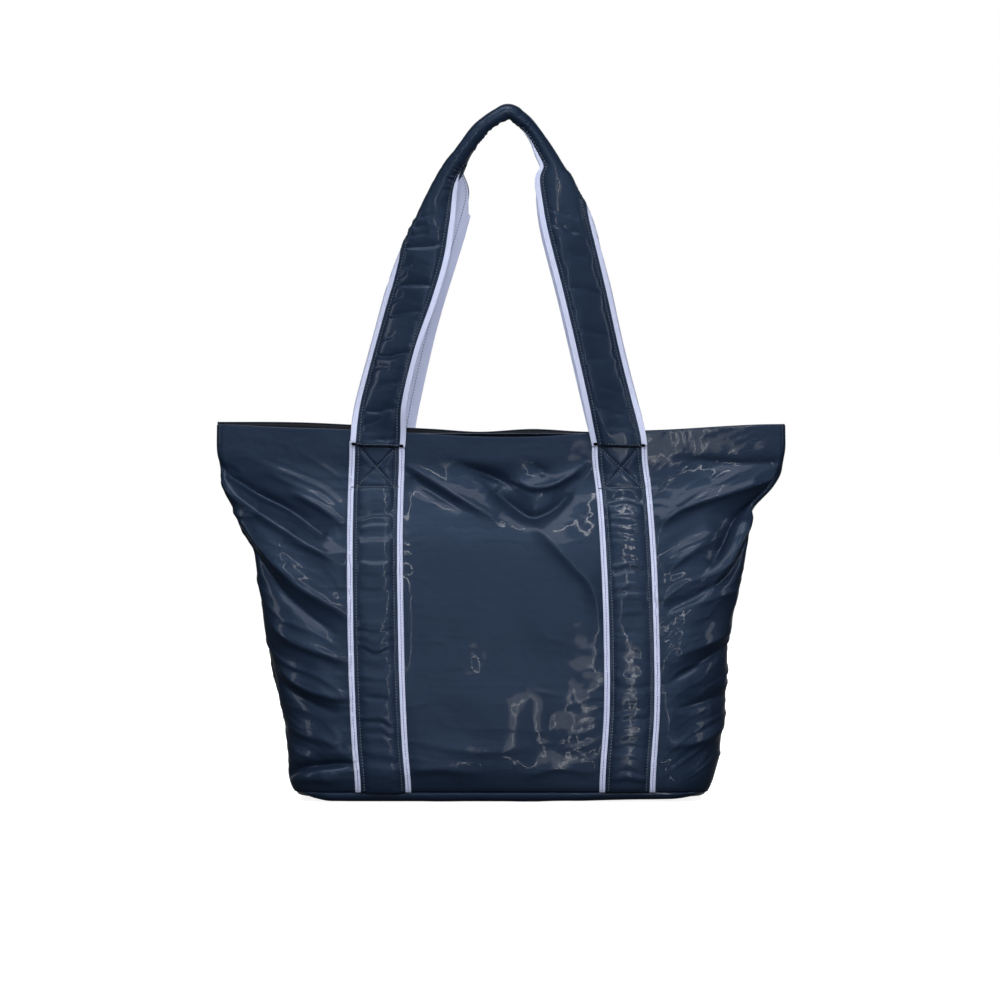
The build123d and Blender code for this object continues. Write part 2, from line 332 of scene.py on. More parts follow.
def nylon(name, base, light, roughness=0.40):
    """Thin satin nylon: fine plain weave, faint drawn threads, soft crinkles and a glossy coat."""
    m = Material(name, base, roughness, Specular_IOR_Level=0.5, Specular_Tint=(0.42, 0.62, 1.0, 1),
                 Coat_Weight=0.2, Coat_Roughness=0.045, Coat_IOR=1.45)
    drawn = m.noise((26, 26, 34), detail=2, distortion=0.4)
    grain = m.noise((520, 520, 520), detail=1)
    m.coat_bump(m.math("ADD", drawn, m.math("MULTIPLY", grain, 0.012)), 0.0008, 0.6)
    mottle = m.noise((22, 22, 22), detail=4)
    m.color(m.ramp(mottle, [(0.3, base), (0.75, light)]))
    m.roughness(m.noise((60, 60, 60), detail=2), roughness - 0.05, roughness + 0.07)
    m.bump(m.noise((38, 38, 60), detail=3, distortion=0.6), 0.0011, 0.55)
    m.bump(m.noise((12, 12, 260), detail=2), 0.00025, 0.5)
    threads = m.math("ADD", m.wave((900, 900, 0)), m.wave((900, 900, 0), direction="Z"))
    m.bump(m.math("ADD", threads, m.wave((0, 0, 900), direction="Z")), 0.00004, 0.35)
    return m.data


def lilac_webbing():
    """Ribbed lilac webbing, with painted shade between its ribs."""
    m = Material("lilac_webbing", (0.36, 0.37, 0.66), 0.62, Sheen_Weight=0.1, Sheen_Roughness=0.4)
    rib = 650
    weave = m.math("MULTIPLY", m.wave((rib, rib, rib), direction="DIAGONAL"),
                   m.wave((rib, -rib, -rib), direction="DIAGONAL"))
    # painted shade: the colour darkens where the weave's height is low, between the ribs
    m.color(m.ramp(weave, [(0.0, (0.44, 0.48, 0.67)), (0.7, (0.55, 0.60, 0.77))]))
    m.bump(weave, 0.00018, 0.7)
    m.bump(m.noise((300, 300, 300)), 0.0001, 0.4)
    return m.data


def coated_lining():
    m = Material("coated_lining", (0.0042, 0.0058, 0.0095), 0.6, Specular_IOR_Level=0.25)
    m.bump(m.noise((40, 40, 40), detail=3), 0.0008, 0.5)
    m.bump(m.wave((700, 700, 700), direction="DIAGONAL"), 0.00005, 0.4)
    return m.data


def sewing_thread(name, color, roughness, gloss):
    """Twisted thread, its turns too fine to model."""
    m = Material(name, color, roughness, Specular_IOR_Level=gloss)
    m.bump(m.wave((2500, 2500, 2500), direction="DIAGONAL"), 0.00006, 0.6)
    return m.data


def grained(name, color, roughness, **shader):
    """A plain matt material with a fine grain."""
    m = Material(name, color, roughness, **shader)
    m.bump(m.noise((900, 900, 900)), 0.00004, 0.4)
    return m.data


def knitted_tape():
    m = Material("zip_tape", (0.012, 0.018, 0.034), 0.7, Specular_IOR_Level=0.3)
    m.bump(m.wave((0, 900, 0), direction="Y"), 0.0001, 0.6)
    m.bump(m.wave((1100, 0, 0)), 0.00006, 0.5)
    return m.data


def dark_metal():
    m = Material("dark_metal", (0.085, 0.092, 0.11), 0.28, Metallic=1.0)
    m.roughness(m.noise((400, 400, 400)), 0.22, 0.38)
    m.bump(m.noise((1500, 1500, 1500)), 0.00002, 0.3)
    return m.data


NAVY, NAVY_LIGHT = (0.0058, 0.0118, 0.0260), (0.0080, 0.0150, 0.0310)
MATERIALS = {
    "nylon": nylon("satin_nylon", NAVY, NAVY_LIGHT),
    "strip": nylon("strip_nylon", NAVY, NAVY_LIGHT, 0.38),
    "lining": coated_lining(),
    "webbing": lilac_webbing(),
    # navy thread lifted to a light grey-blue: partly its own colour, partly a painted highlight on the
    # stitches
    "thread": sewing_thread("navy_thread_painted_highlight", (0.085, 0.11, 0.145), 0.45, 0.5),
    # lilac thread darkened to grey-lilac: the thread's colour plus painted shade of the stitched groove along
    # the margins
    "lilac_thread_painted_groove_shade": sewing_thread("lilac_thread_painted_groove_shade", (0.16, 0.165, 0.30), 0.6, 0.2),
    # near-black painted shade for the needle holes and for the groove under each handle's foot row; the bars
    # at that row's ends use it too
    "painted_shade": grained("needle_hole_shade", (0.0015, 0.002, 0.004), 0.8, Specular_IOR_Level=0.1),
    "tape": knitted_tape(),
    "coil": grained("nylon_coil", (0.022, 0.029, 0.052), 0.38),
    "metal": dark_metal(),
}


def dress(piece, *materials):
    for name in materials:
        piece.data.materials.append(MATERIALS[name])


def settle(piece, body, slot, materials, *nodes):
    """Give a piece its materials, the CAD nodes it stands for and the body it rides on; slot is not used."""
    dress(piece, *materials)
    if nodes:
        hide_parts(*nodes)
    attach(piece, body)


# ------------------------------------------------------------------ the bag's outline
# Height, then the left and right edges of the filled bag as it stands
SIDES = [
    (0, -184, 187), (12, -188, 190), (20, -190, 193), (42, -193, 199), (64, -197, 203),
    (107, -209, 211), (151, -220, 213), (195, -225.5, 223.5), (228, -232, 232), (249, -243, 234.5),
    (262, -246, 236), (282, -253, 251), (294, -255, 257), (316, -257, 259), (340, -257, 259),
]
LEFT_EDGE = curve_through([(z, -left) for z, left, _ in SIDES])
RIGHT_EDGE = curve_through([(z, right) for z, _, right in SIDES])
HALF_DEPTH = curve_through([(0, 60), (9, 64), (60, 66.5), (140, 60), (190, 51), (230, 40),
                            (262, 28), (290, 18), (305, 15.6), (345, 15.0)])
CORNER = curve_through([(0, 30), (9, 34), (60, 52), (140, 54), (190, 44), (230, 32),
                        (262, 19), (290, 9), (305, 6.5), (345, 6.0)])
# Place along the mouth, then the height of the front and back rims there
FRONT_RIM = curve_through([(-256, 339.5), (-200, 337), (-137, 335), (-80, 332), (-20, 328.8), (36, 328.8),
                           (82, 331.8), (131, 333), (200, 337), (256, 339.5)])
BACK_RIM = curve_through([(-256, 342.5), (-180, 342), (-110, 338.5), (-60, 336), (-20, 333.5), (30, 336),
                          (80, 333.5), (140, 335), (256, 340.5)])
RIMS = {"front": FRONT_RIM, "back": BACK_RIM}


def outline(s, z):
    """Points and outward directions at a distance s along the front half's outline, from its middle.

    Positive s is to the right. The half outline runs from the middle of one gusset to the other.
    """
    s, z = np.broadcast_arrays(np.asarray(s, float), np.asarray(z, float))
    side = np.where(s >= 0, 1.0, -1.0)
    a = np.abs(s)
    width = np.where(s >= 0, RIGHT_EDGE(z), LEFT_EDGE(z))
    depth, corner = HALF_DEPTH(z), CORNER(z)
    flat = width - corner
    angle = np.clip((a - flat) / corner, 0, math.pi / 2)
    past = np.maximum(a - flat - corner * math.pi / 2, 0)
    x = side * (np.minimum(a, flat) + corner * np.sin(angle))
    y = -(depth - corner) - corner * np.cos(angle) + past
    normal = np.stack([side * np.sin(angle), -np.cos(angle), np.zeros_like(x)], axis=-1)
    return np.stack([x, y, z], axis=-1), normal


def reach(z, side):
    """Length of the half outline from its middle to the side seam. side is 1 for the right."""
    width = RIGHT_EDGE(z) if side > 0 else LEFT_EDGE(z)
    corner = CORNER(z)
    return width - corner + corner * math.pi / 2 + HALF_DEPTH(z) - corner


def reach_at(s, z):
    """The reach on the side that s lies on."""
    return np.where(s >= 0, reach(z, 1), reach(z, -1))


def across_panel(q, z):
    """The place along the outline at a share q of the way from the middle (0) to a side seam (-1 or 1)."""
    return q * reach_at(q, z)


# ------------------------------------------------------------------ folds
def crease(distance, width, soft=0.9):
    """The profile across a crease: a crisp line with broad flanks."""
    return np.exp(-(np.sqrt(distance**2 + soft**2) - soft) / width)


def fold(s, z, points, height, width, soft):
    """One fold's relief along a given line in (s, z), highest in the line's middle."""
    line = dense_path(points, 4.0)
    best = np.full(s.shape, 1e9)
    place = np.zeros(s.shape)
    above = np.zeros(s.shape)
    for k in range(len(line) - 1):
        a, b = line[k], line[k + 1]
        d = b - a
        t = np.clip(((s - a[0]) * d[0] + (z - a[1]) * d[1]) / (d @ d), 0, 1)
        dist = np.hypot(s - a[0] - t * d[0], z - a[1] - t * d[1])
        near = dist < best
        best = np.where(near, dist, best)
        place = np.where(near, (k + t) / (len(line) - 1), place)
        over = ((z - a[1]) * d[0] - (s - a[0]) * d[1]) * (1 if d[0] > 0 else -1)
        above = np.where(near, over > 0, above)
    swell = np.sin(np.clip(place, 0, 1) * math.pi) ** 0.6 * 0.75 + 0.25
    flank = np.where(above > 0, width, LOWER_FLANK * width)
    return height * swell * crease(best, flank, 0.55 * soft)


FOLD_DEPTH = 1.6
LOWER_FLANK = 0.45  # folds hang over: the flank under a fold's line is this share of the one above it
# Each fold's line as places (s, z), then its height (a valley where negative), width and softness
FRONT_FOLDS = [
    # left shoulder: from the mouth's corner down to the strap
    ([(-262, 304), (-222, 278), (-190, 262), (-158, 238)], -8.0, 9, 1.5),
    ([(-258, 288), (-216, 258), (-182, 236), (-142, 214)], 5.0, 12, 1.6),
    ([(-246, 262), (-212, 222), (-180, 192), (-138, 168)], 4.5, 12, 1.4),
    ([(-244, 244), (-214, 204), (-186, 178), (-150, 152)], -4.0, 9, 1.4),
    ([(-190, 280), (-168, 268), (-142, 250)], 2.5, 6, 1.5),
    # top middle: dents under the sagging rim
    ([(-78, 330), (-46, 318), (-8, 300), (14, 288)], -6.5, 12, 1.5),
    ([(-90, 312), (-60, 292), (-24, 268), (-4, 256)], 3.5, 9, 1.5),
    ([(-82, 296), (-58, 280), (-34, 264)], -2.5, 8, 1.5),
    ([(-6, 330), (24, 318), (42, 302)], -5.0, 9, 1.5),
    ([(-6, 284), (14, 266), (30, 256), (48, 264), (64, 280)], -6.5, 10, 1.5),
    ([(10, 298), (28, 288), (52, 292), (80, 312)], 4.0, 9, 1.6),
    ([(34, 334), (56, 325), (78, 316)], -4.0, 8, 1.5),
    ([(30, 250), (62, 216), (84, 190), (92, 150)], 2.8, 14, 1.6),
    # right shoulder: folds that fan out from the mouth's corner
    ([(262, 296), (236, 270), (212, 252), (202, 232), (190, 212)], -9.0, 8, 1.4),
    ([(258, 292), (214, 280), (170, 266), (142, 250)], 5.5, 13, 1.6),
    ([(252, 306), (214, 306), (176, 312), (146, 322)], -4.0, 10, 1.5),
    ([(238, 262), (220, 236), (208, 214), (190, 190)], 4.5, 9, 1.5),
    ([(234, 238), (214, 208), (176, 184), (150, 172)], -4.0, 8, 1.4),
    ([(200, 240), (176, 226), (150, 208)], 3.0, 10, 1.5),
    # right side, lower down
    ([(222, 140), (190, 128), (148, 106)], -3.6, 7, 1.4),
    ([(222, 152), (196, 144), (160, 132)], 2.4, 8, 1.5),
    ([(224, 96), (196, 92), (160, 84)], -2.6, 7, 1.4),
    ([(220, 72), (186, 56), (150, 50)], 2.6, 9, 1.5),
    # left side, lower down
    ([(-212, 158), (-184, 142), (-138, 126)], 3.2, 8, 1.5),
    ([(-208, 118), (-182, 104), (-156, 95), (-136, 92)], 3.6, 8, 1.5),
    ([(-208, 106), (-180, 92), (-146, 80)], -2.6, 8, 1.4),
    ([(-206, 66), (-176, 60), (-144, 52)], 2.0, 9, 1.5),
    # bottom left corner
    ([(-206, 22), (-176, 31), (-134, 35)], -6.5, 4.5, 1.4),
    ([(-196, 16), (-170, 20), (-146, 18)], 4.0, 7, 1.6),
    # over the base
    ([(-100, 22), (-60, 30), (-20, 26)], 1.6, 9, 1.5),
    ([(-70, 52), (-20, 46), (30, 50)], 1.4, 14, 1.6),
    ([(20, 22), (50, 30), (84, 26)], 1.5, 8, 1.5),
]
BACK_FOLDS = [
    ([(-262, 300), (-224, 276), (-186, 262), (-150, 246)], -7.5, 9, 1.5),
    ([(-256, 284), (-214, 262), (-176, 240), (-142, 226)], 4.5, 12, 1.6),
    ([(-236, 246), (-206, 214), (-172, 188)], -4.0, 9, 1.4),
    ([(-86, 322), (-50, 308), (-10, 296)], -5.0, 12, 1.5),
    ([(-20, 328), (16, 306), (54, 300), (88, 318)], -5.0, 12, 1.5),
    ([(-60, 280), (-10, 262), (50, 272)], 3.5, 14, 1.6),
    ([(262, 302), (226, 278), (192, 266), (146, 250)], -7.5, 9, 1.5),
    ([(254, 286), (214, 264), (178, 246), (144, 236)], 4.5, 12, 1.6),
    ([(238, 244), (208, 210), (166, 186)], -4.0, 9, 1.4),
    ([(210, 130), (182, 112), (146, 104)], -3.2, 8, 1.4),
    ([(-212, 124), (-180, 112), (-140, 96)], 3.2, 9, 1.5),
    ([(206, 66), (176, 52), (142, 50)], 2.6, 9, 1.5),
    ([(-204, 26), (-172, 34), (-138, 32)], -4.5, 6, 1.4),
    ([(-60, 60), (0, 48), (62, 58)], 1.6, 16, 1.6),
]


def crinkle(s, z, seed):
    """The slow unevenness of a filled bag, and drawn wrinkles that slant down from its shoulders."""
    slow = 2.2 * value_noise(s / 95, z / 80, seed) + 1.1 * value_noise(s / 46, z / 40, seed + 3)
    sides = smoothstep(110, 190, np.abs(s))
    slanted = z - 0.42 * np.abs(s) * smoothstep(60, 170, np.abs(s))
    wander = 5 * value_noise(s / 50, z / 45, seed + 5)
    drawn = 1 - np.abs(value_noise(s / 88 + seed, (slanted + wander) / 19, seed + 7))
    thin = 1 - np.abs(value_noise(s / 42 + seed, (slanted + 0.7 * wander) / 9.5, seed + 11))
    return slow + (0.30 + 1.2 * sides) * (drawn**5 - 0.25) + (0.12 + 0.55 * sides) * (thin**4 - 0.3)


def gathers(along, off, wavelength, run, seed):
    """Short ridges that run away from a seam: along is the place on it, off the distance from it."""
    wander = value_noise(along / 23, off / 30, seed)
    wave = 1 - np.abs(value_noise(along / wavelength + 0.5 * wander, off / 70 + seed, seed + 1))
    strength = 0.55 + 0.45 * value_noise(along / 38, off * 0 + seed, seed + 2)
    return strength * (wave**3 - 0.35) * np.exp(-np.maximum(off, 0) / run)


# The middle of each strap on the body, as its place along the outline at each height
STRAP_LINES = {
    ("front", -1): curve_through([(9, -104.5), (53, -107.5), (180, -112), (283, -112.5), (322, -111.5)]),
    ("front", 1): curve_through([(9, 114), (84, 118), (180, 117), (283, 112), (322, 108.5)]),
    ("back", -1): curve_through([(9, -111), (100, -113), (283, -110), (322, -105)]),
    ("back", 1): curve_through([(9, 112), (100, 114), (283, 112), (322, 110)]),
}


FOLDS = {"front": FRONT_FOLDS, "back": BACK_FOLDS}
RELIEF_SEED = {"front": 2.0, "back": 31.0}
HUNG_DEPTH = 13.9  # how far from the middle the mouth's tapes, hem and pouch reach
LEAST_ROOM = -0.3


def strap_gathers(s, z, face, seed):
    """The gathers along both edges of both straps, weaker between the straps than outside them."""
    total = 0.0
    for side in BOTH:
        for edge in BOTH:
            off = edge * (s - STRAP_LINES[face, side](z)) - STRAP_WIDTH / 2
            strength = np.where(off > -3, 1.0 if edge == side else 0.6, 0.0)
            total = total + 1.9 * strength * gathers(z, off, 8.5, 20, seed + 40 + side + 3 * edge)
    return total


def clear_of_hung_parts(relief, s, z, face):
    """Dents that stop short of the tapes and the stow pouch that hang inside the mouth."""
    room = np.abs(outline(s, z)[0][..., 1]) - FABRIC - HUNG_DEPTH
    share = smoothstep(300, 322, z)
    if face == "back":
        beside_pouch = smoothstep(128, 104, np.abs(s)) * smoothstep(130, 160, z)
        share = np.maximum(share, beside_pouch)
    return relief + share * (np.maximum(relief, -np.maximum(room, LEAST_ROOM)) - relief)


def worked_relief(s, z, face):
    """How far the fabric stands out from the smooth outline, worked out fold by fold."""
    seed = RELIEF_SEED[face]
    s, z = np.broadcast_arrays(np.asarray(s, float), np.asarray(z, float))
    small = crinkle(s, z, seed)
    large = sum(fold(s, z, *laid) for laid in FOLDS[face])
    # the straps are stiffer: folds fade under them
    under = sum(bump_of(np.abs(s - STRAP_LINES[face, side](z)), 28.0, 6) for side in BOTH)
    total = small * (1 - 0.85 * under) + FOLD_DEPTH * large * (1 - 0.6 * under)
    total = total + strap_gathers(s, z, face, seed)
    total = total + 1.6 * gathers(s, z - SEAM_Z, 12, 13, seed + 60)
    crown = 5.0 * (1 - np.clip(s / 235, -1, 1) ** 2) * smoothstep(330, 180, z)
    crown = crown - 1.5 + 1.7 * smoothstep(300, 326, z)
    from_side_seam = reach_at(s, z) - np.abs(s)
    total = total * smoothstep(0, 16, from_side_seam)  # front and back meet along the side seam
    pinch = -7.0 * bump_of(from_side_seam, 20) * smoothstep(300, 240, z) * smoothstep(30, 120, z)
    quiet = smoothstep(SEAM_Z - 1, SEAM_Z + 26, z) * (1 - 0.9 * smoothstep(294, 327, z))
    seam_sink = -1.2 * np.exp(-np.maximum(z - SEAM_Z, 0) / 2.0)
    relief = (total + pinch) * quiet + crown * smoothstep(0, 60, z) + seam_sink
    return clear_of_hung_parts(relief, s, z, face)


RELIEF_STEP = 1.0
RELIEF_S = np.arange(-330.0, 331.0, RELIEF_STEP)
RELIEF_Z = np.arange(0.0, 347.0, RELIEF_STEP)
RELIEF = {face: worked_relief(RELIEF_S[:, None], RELIEF_Z[None, :], face) for face in FACES}


def displaced(s, z, face):
    """The fabric's relief, read from the table worked out above."""
    s, z = np.broadcast_arrays(np.asarray(s, float), np.asarray(z, float))
    a = np.clip((s - RELIEF_S[0]) / RELIEF_STEP, 0, len(RELIEF_S) - 1.001)
    b = np.clip((z - RELIEF_Z[0]) / RELIEF_STEP, 0, len(RELIEF_Z) - 1.001)
    i, j = a.astype(int), b.astype(int)
    a, b = a - i, b - j
    t = RELIEF[face]
    return ((1 - a) * (1 - b) * t[i, j] + a * (1 - b) * t[i + 1, j]
            + (1 - a) * b * t[i, j + 1] + a * b * t[i + 1, j + 1])


def skin(s, z, face):
    """The fabric's surface at place s, height z (before the rim's sag) on the front or back."""
    point, normal = outline(s, z)
    rim = RIMS[face](point[..., 0]) - RIM_Z
    point = point + normal * displaced(s, z, face)[..., None]
    point[..., 2] += rim * smoothstep(215, RIM_Z, z) ** 1.5
    if face == "back":
        point = point * np.array([1, -1, 1])
        normal = normal * np.array([1, -1, 1])
    return point, normal


def skin_normal(s, z, face):
    """The true outward normal of the folded surface."""
    step = 0.8
    across = skin(s + step, z, face)[0] - skin(s - step, z, face)[0]
    up = skin(s, z + step, face)[0] - skin(s, z - step, face)[0]
    normal = unit(np.cross(across, up))
    return normal if face == "front" else -normal


# ------------------------------------------------------------------ bag body pieces
def panel_grid(face, z_low, z_high, rows, cols):
    """Points and normals over one panel, from side seam to side seam."""
    z = np.linspace(z_low, z_high, rows)[:, None]
    s = across_panel(np.linspace(-1, 1, cols)[None, :], z)
    z = np.broadcast_to(z, s.shape)
    return skin(s, z, face)[0], skin_normal(s, z, face)


SPACING = 1.7
RIM_ROLL = 0.75  # radius of the fold along the mouth's edge


RIM_STEPS = 6


def rolled_rim(edge, normal):
    """Rows that carry a panel's top edge over a small fold."""
    out = unit(normal * np.array([1, 1, 0]))
    up = np.array([0, 0, 1.0])
    rows = []
    for k in range(1, RIM_STEPS + 1):
        turn = math.pi * k / RIM_STEPS
        rows.append(edge - out * RIM_ROLL * (1 - math.cos(turn)) + up * RIM_ROLL * math.sin(turn))
    return np.stack(rows)


def build_panels():
    rows = int((RIM_Z - SEAM_Z) / SPACING)
    cols = int(2 * reach(200.0, 1) / SPACING)
    for face in FACES:
        outer, normal = panel_grid(face, SEAM_Z, RIM_Z - RIM_ROLL, rows, cols)
        inner = outer - normal * FABRIC
        rim = rolled_rim(outer[-1], normal[-1])
        inner = np.concatenate([inner, (rim + inner[-1:]) / 2])
        outer = np.concatenate([outer, rim])
        piece = shell_object(f"{face}_panel_fabric", outer, inner, flip=face == "back")
        settle(piece, "bag", "navy_nylon", ("nylon", "lining"), f"{face}_panel")


HEM_DROP = 1.6  # from the mouth's edge down to the hems
HEM_DEPTHS = (0.1, 0.5)  # the hems' faces, behind the panels' inner faces


def build_facings():
    """The folded hems inside the mouth."""
    rows, cols = ((16, 190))
    for face in FACES:
        point, normal = panel_grid(face, FACING_FOOT, RIM_Z - HEM_DROP, rows, cols)
        outer, inner = ((point - normal * (FABRIC + depth))[:, 1:-1] for depth in HEM_DEPTHS)
        piece = shell_object(f"{face}_hem", outer, inner, flip=face == "back")
        settle(piece, "bag", "navy_lining", ("lining", "lining"), f"{face}_top_facing")


def sole_lift(x, y):
    """How far the base's lower face stands off the floor."""
    left = 14 * smoothstep(150, 197, -x)
    right = 2.8 * smoothstep(40, 130, x) + 8 * smoothstep(150, 198, x)
    return (left + right) * smoothstep(0, 46, np.abs(y) + 12)


# The sole's section from the seam in to the middle: distance in from the outline, then height
SOLE_SECTION = [
    (0.9, 9.3), (-0.3, 8.2), (0.0, 6.4), (0.7, 4.2), (2.4, 2.2), (5.5, 0.9), (11, 0.35), (20, 0.25),
    (34, 0.35), (48, 0.5), (60, 0.6),
]
SOLE_EDGE_ROWS = 5  # the first rows of the section, which stand up and are thickened sideways
SOLE_SHEET = 0.9
SOLE_LINE = 130  # half the length of the line that the section's rows draw in to


def seam_ring(cols):
    """The closed line round the bag at the base seam, and the way outward from the sole's middle line."""
    z = np.full(cols, SEAM_Z)
    s = across_panel(np.linspace(-1, 1, cols), z)
    front, back = (skin(s, z, face)[0] for face in FACES)
    ring = np.concatenate([front[:-1], back[::-1][:-1]])
    middle = np.array([1.0, 0, 0]) * np.clip(ring[:, :1], -SOLE_LINE, SOLE_LINE)
    return ring, unit(ring * np.array([1, 1, 0]) - middle)


def sole_rows(ring, outward):
    """The sole's outer face as rows of points from the seam to the middle line."""
    rows = []
    for inset, height in SOLE_SECTION:
        row = ring - outward * inset
        row[:, 1] = np.where(np.abs(ring[:, 1]) > 2, row[:, 1], ring[:, 1])
        row[:, 2] = height
        rows.append(row)
    centre_x = np.clip(ring[:, 0], 2 - SOLE_LINE, SOLE_LINE - 2)
    level = np.zeros(len(ring))
    rows.append(np.stack([centre_x, level, level + SOLE_SECTION[-1][1]], axis=1))
    points = np.stack(rows)
    lift = sole_lift(points[..., 0], points[..., 1])
    points[..., 2] += lift * smoothstep(SEAM_Z + 1, 0, points[..., 2]) * 0.65
    uneven = 0.35 * value_noise(points[..., 0] / 26, points[..., 1] / 22, 5.0)
    points[..., 2] += uneven * (points[..., 2] < 3)
    points[..., 2] = np.maximum(points[..., 2], 0.05)
    return points


def build_base():
    """The sole and its turned-up edge, from one ring at the seam in to the middle."""
    ring, outward = seam_ring(230)
    points = sole_rows(ring, outward)
    inner = points.copy()
    inner[:SOLE_EDGE_ROWS] -= outward[None] * SOLE_SHEET
    inner[..., 2] += SOLE_SHEET * smoothstep(7, 3, points[..., 2])
    rows, width = points.shape[:2]
    total = rows * width
    faces = grid_faces(rows, width, wrap=True, flip=True)
    faces += grid_faces(rows, width, wrap=True, start=total)
    for k in range(width):
        after = (k + 1) % width
        faces.append((k, after, total + after, total + k))
    piece = mesh_object("base_fabric", np.concatenate([points.reshape(-1, 3), inner.reshape(-1, 3)]), faces)
    settle(piece, "bag", "navy_nylon", ("nylon",), "base_panel")


# ------------------------------------------------------------------ straps on the body
WEBBING_THICK = 1.15
STRIP_THICK = 0.7
STRIP_STITCH_IN = 3.2  # from the strip's edge to its row of stitches
STITCH_FROM_MIDDLE = STRIP_WIDTH / 2 - STRIP_STITCH_IN
BOX_FOOT, BOX_TOP = 285.0, 325.0  # heights of the crossed box's lower and upper rows
BODY_PUFF, HANDLE_PUFF = 1.6, 2.0  # how far the strips' middles stand off the webbing


def strap_grid(face, side, width, offset, z_low, z_high, rows, cols, ripple=None):
    """A band that lies on the panel, its middle on the strap's line."""
    z = np.linspace(z_low, z_high, rows)[:, None]
    u = np.linspace(-width / 2, width / 2, cols)[None, :]
    s = STRAP_LINES[face, side](z) + u
    z = np.broadcast_to(z, s.shape)
    normal = skin_normal(s, z, face)
    lift = offset + (ripple(u, z) if ripple else 0.0)
    return skin(s, z, face)[0] + normal * np.broadcast_to(lift, s.shape)[..., None]


def puff(u, height):
    """The rise of a strip between its two rows of stitches."""
    return height * np.clip(1 - (u / STITCH_FROM_MIDDLE) ** 4, 0, 1)


def turned_under(outer, inner):
    """A strip's outer face, brought down to the inner one at both edges in a round."""
    across = np.linspace(-1, 1, outer.shape[1])[None, :, None]
    return inner + (outer - inner) * np.sqrt(np.clip(1.02 - across**8, 0.0, 1))


def pucker(face, side):
    """The puckers across a stitched strip: soft, uneven, deepest at the seams and along the box's cross."""
    seed = {"front": 3, "back": 19}[face] + side
    half = STITCH_FROM_MIDDLE

    def height(u, z):
        wander = 3.5 * value_noise(u / 14, z / 34, seed)
        small = value_noise(u / 30 + seed, (z + wander) / 4.6, seed + 1)
        large = value_noise(u / 44, (z + wander) / 15, seed + 2)
        deep = np.clip(value_noise(u / 60, (z + wander) / 8, seed + 5) - 0.35, 0, 1)
        pull = np.clip(value_noise(u * 0 + seed, z / 3.6, seed + 6) - 0.2, 0, 1)
        at_seam = bump_of(half - np.abs(u), 4.5)
        total = 0.75 * small + 0.8 * large - 2.0 * deep - 1.1 * pull * at_seam
        total = total - 0.5 * bump_of(np.abs(u) - half, 1.3)
        up = (z - BOX_FOOT) / (BOX_TOP - BOX_FOOT) * 2 - 1
        in_box = smoothstep(-1.08, -1.0, up)
        cross = np.abs(np.abs(u / half) - np.abs(up)) * half * 0.7
        groove = bump_of(cross, 1.3) * in_box + bump_of(z - BOX_FOOT, 1.2)
        rise = puff(u, BODY_PUFF)
        total = total * (1 - 0.5 * in_box) + rise - (0.55 + 0.5 * rise) * groove
        return np.maximum(total, -0.5) * smoothstep(20.5, 17.5, np.abs(u))

    return height


def strap_top(face, side):
    """The height, before the rim's sag, of the strap's end under the handle's foot."""
    return HANDLE_FOOT + 1.0 - 0.96 * (float(RIMS[face](side * 110)) - RIM_Z)


def build_straps():
    rows = 240
    for face, side in STRAP_LINES:
        where = f"{face}_{'right' if side > 0 else 'left'}"
        foot, top = SEAM_Z + 0.5, strap_top(face, side)
        for layer, width, low, thick, slot, material in (
            ("webbing", STRAP_WIDTH, 0.25, WEBBING_THICK, "lilac_webbing", "webbing"),
            ("strip", STRIP_WIDTH, 1.45, STRIP_THICK, "navy_strip", "strip"),
        ):
            cols = 26 if layer == "webbing" else 36
            ripple = pucker(face, side) if layer == "strip" else None
            outer = strap_grid(face, side, width, low + thick, foot, top, rows, cols, ripple)
            inner = strap_grid(face, side, width, low, foot, top, rows, cols)
            if layer == "strip":
                outer = turned_under(outer, inner)
            piece = shell_object(f"{where}_{layer}_run", outer, inner, flip=face == "back")
            settle(piece, "bag", slot, (material, material), f"{where}_{layer}")


# ------------------------------------------------------------------ stitches
STITCH_PITCH = 2.8
STITCH_LENGTH = 1.75
THREAD_RADIUS = 0.42
STITCH_RINGS, STITCH_SIDES = 5, 6
HOLE_RADIUS = 0.6
HOLE_SIDES = 6


def stitch(start, end, normal, radius=THREAD_RADIUS):
    """One stitch: a short arc of thread that dips into the fabric at both ends."""
    along = end - start
    across = unit(np.cross(along, normal))
    points = []
    for k in range(STITCH_RINGS):
        t = k / (STITCH_RINGS - 1)
        rise = math.sin(math.pi * t)
        centre = start + along * t + normal * (radius * (1.1 * rise - 0.55))
        r = radius * (0.55 + 0.45 * rise)
        for j in range(STITCH_SIDES):
            a = 2 * math.pi * j / STITCH_SIDES
            points.append(centre + (across * math.cos(a) + normal * math.sin(a)) * r)
    return np.array(points), tube_faces(STITCH_RINGS, STITCH_SIDES)


def reader(line):
    """A function that reads a table of points at a distance along line, and the line's length."""
    along = run_length(line)

    def at(distance, table):
        return np.array([np.interp(distance, along, table[:, k]) for k in range(3)])

    return at, along[-1]


def stitches_along(line, normals, length=STITCH_LENGTH, radius=THREAD_RADIUS):
    """Stitches spaced evenly along a line of points with normals."""
    at, end = reader(line)
    made = []
    for k in range(int(end / STITCH_PITCH)):
        d = (k + 0.5) * STITCH_PITCH
        made.append(stitch(at(d - length / 2, line), at(d + length / 2, line), unit(at(d, normals)), radius))
    return made


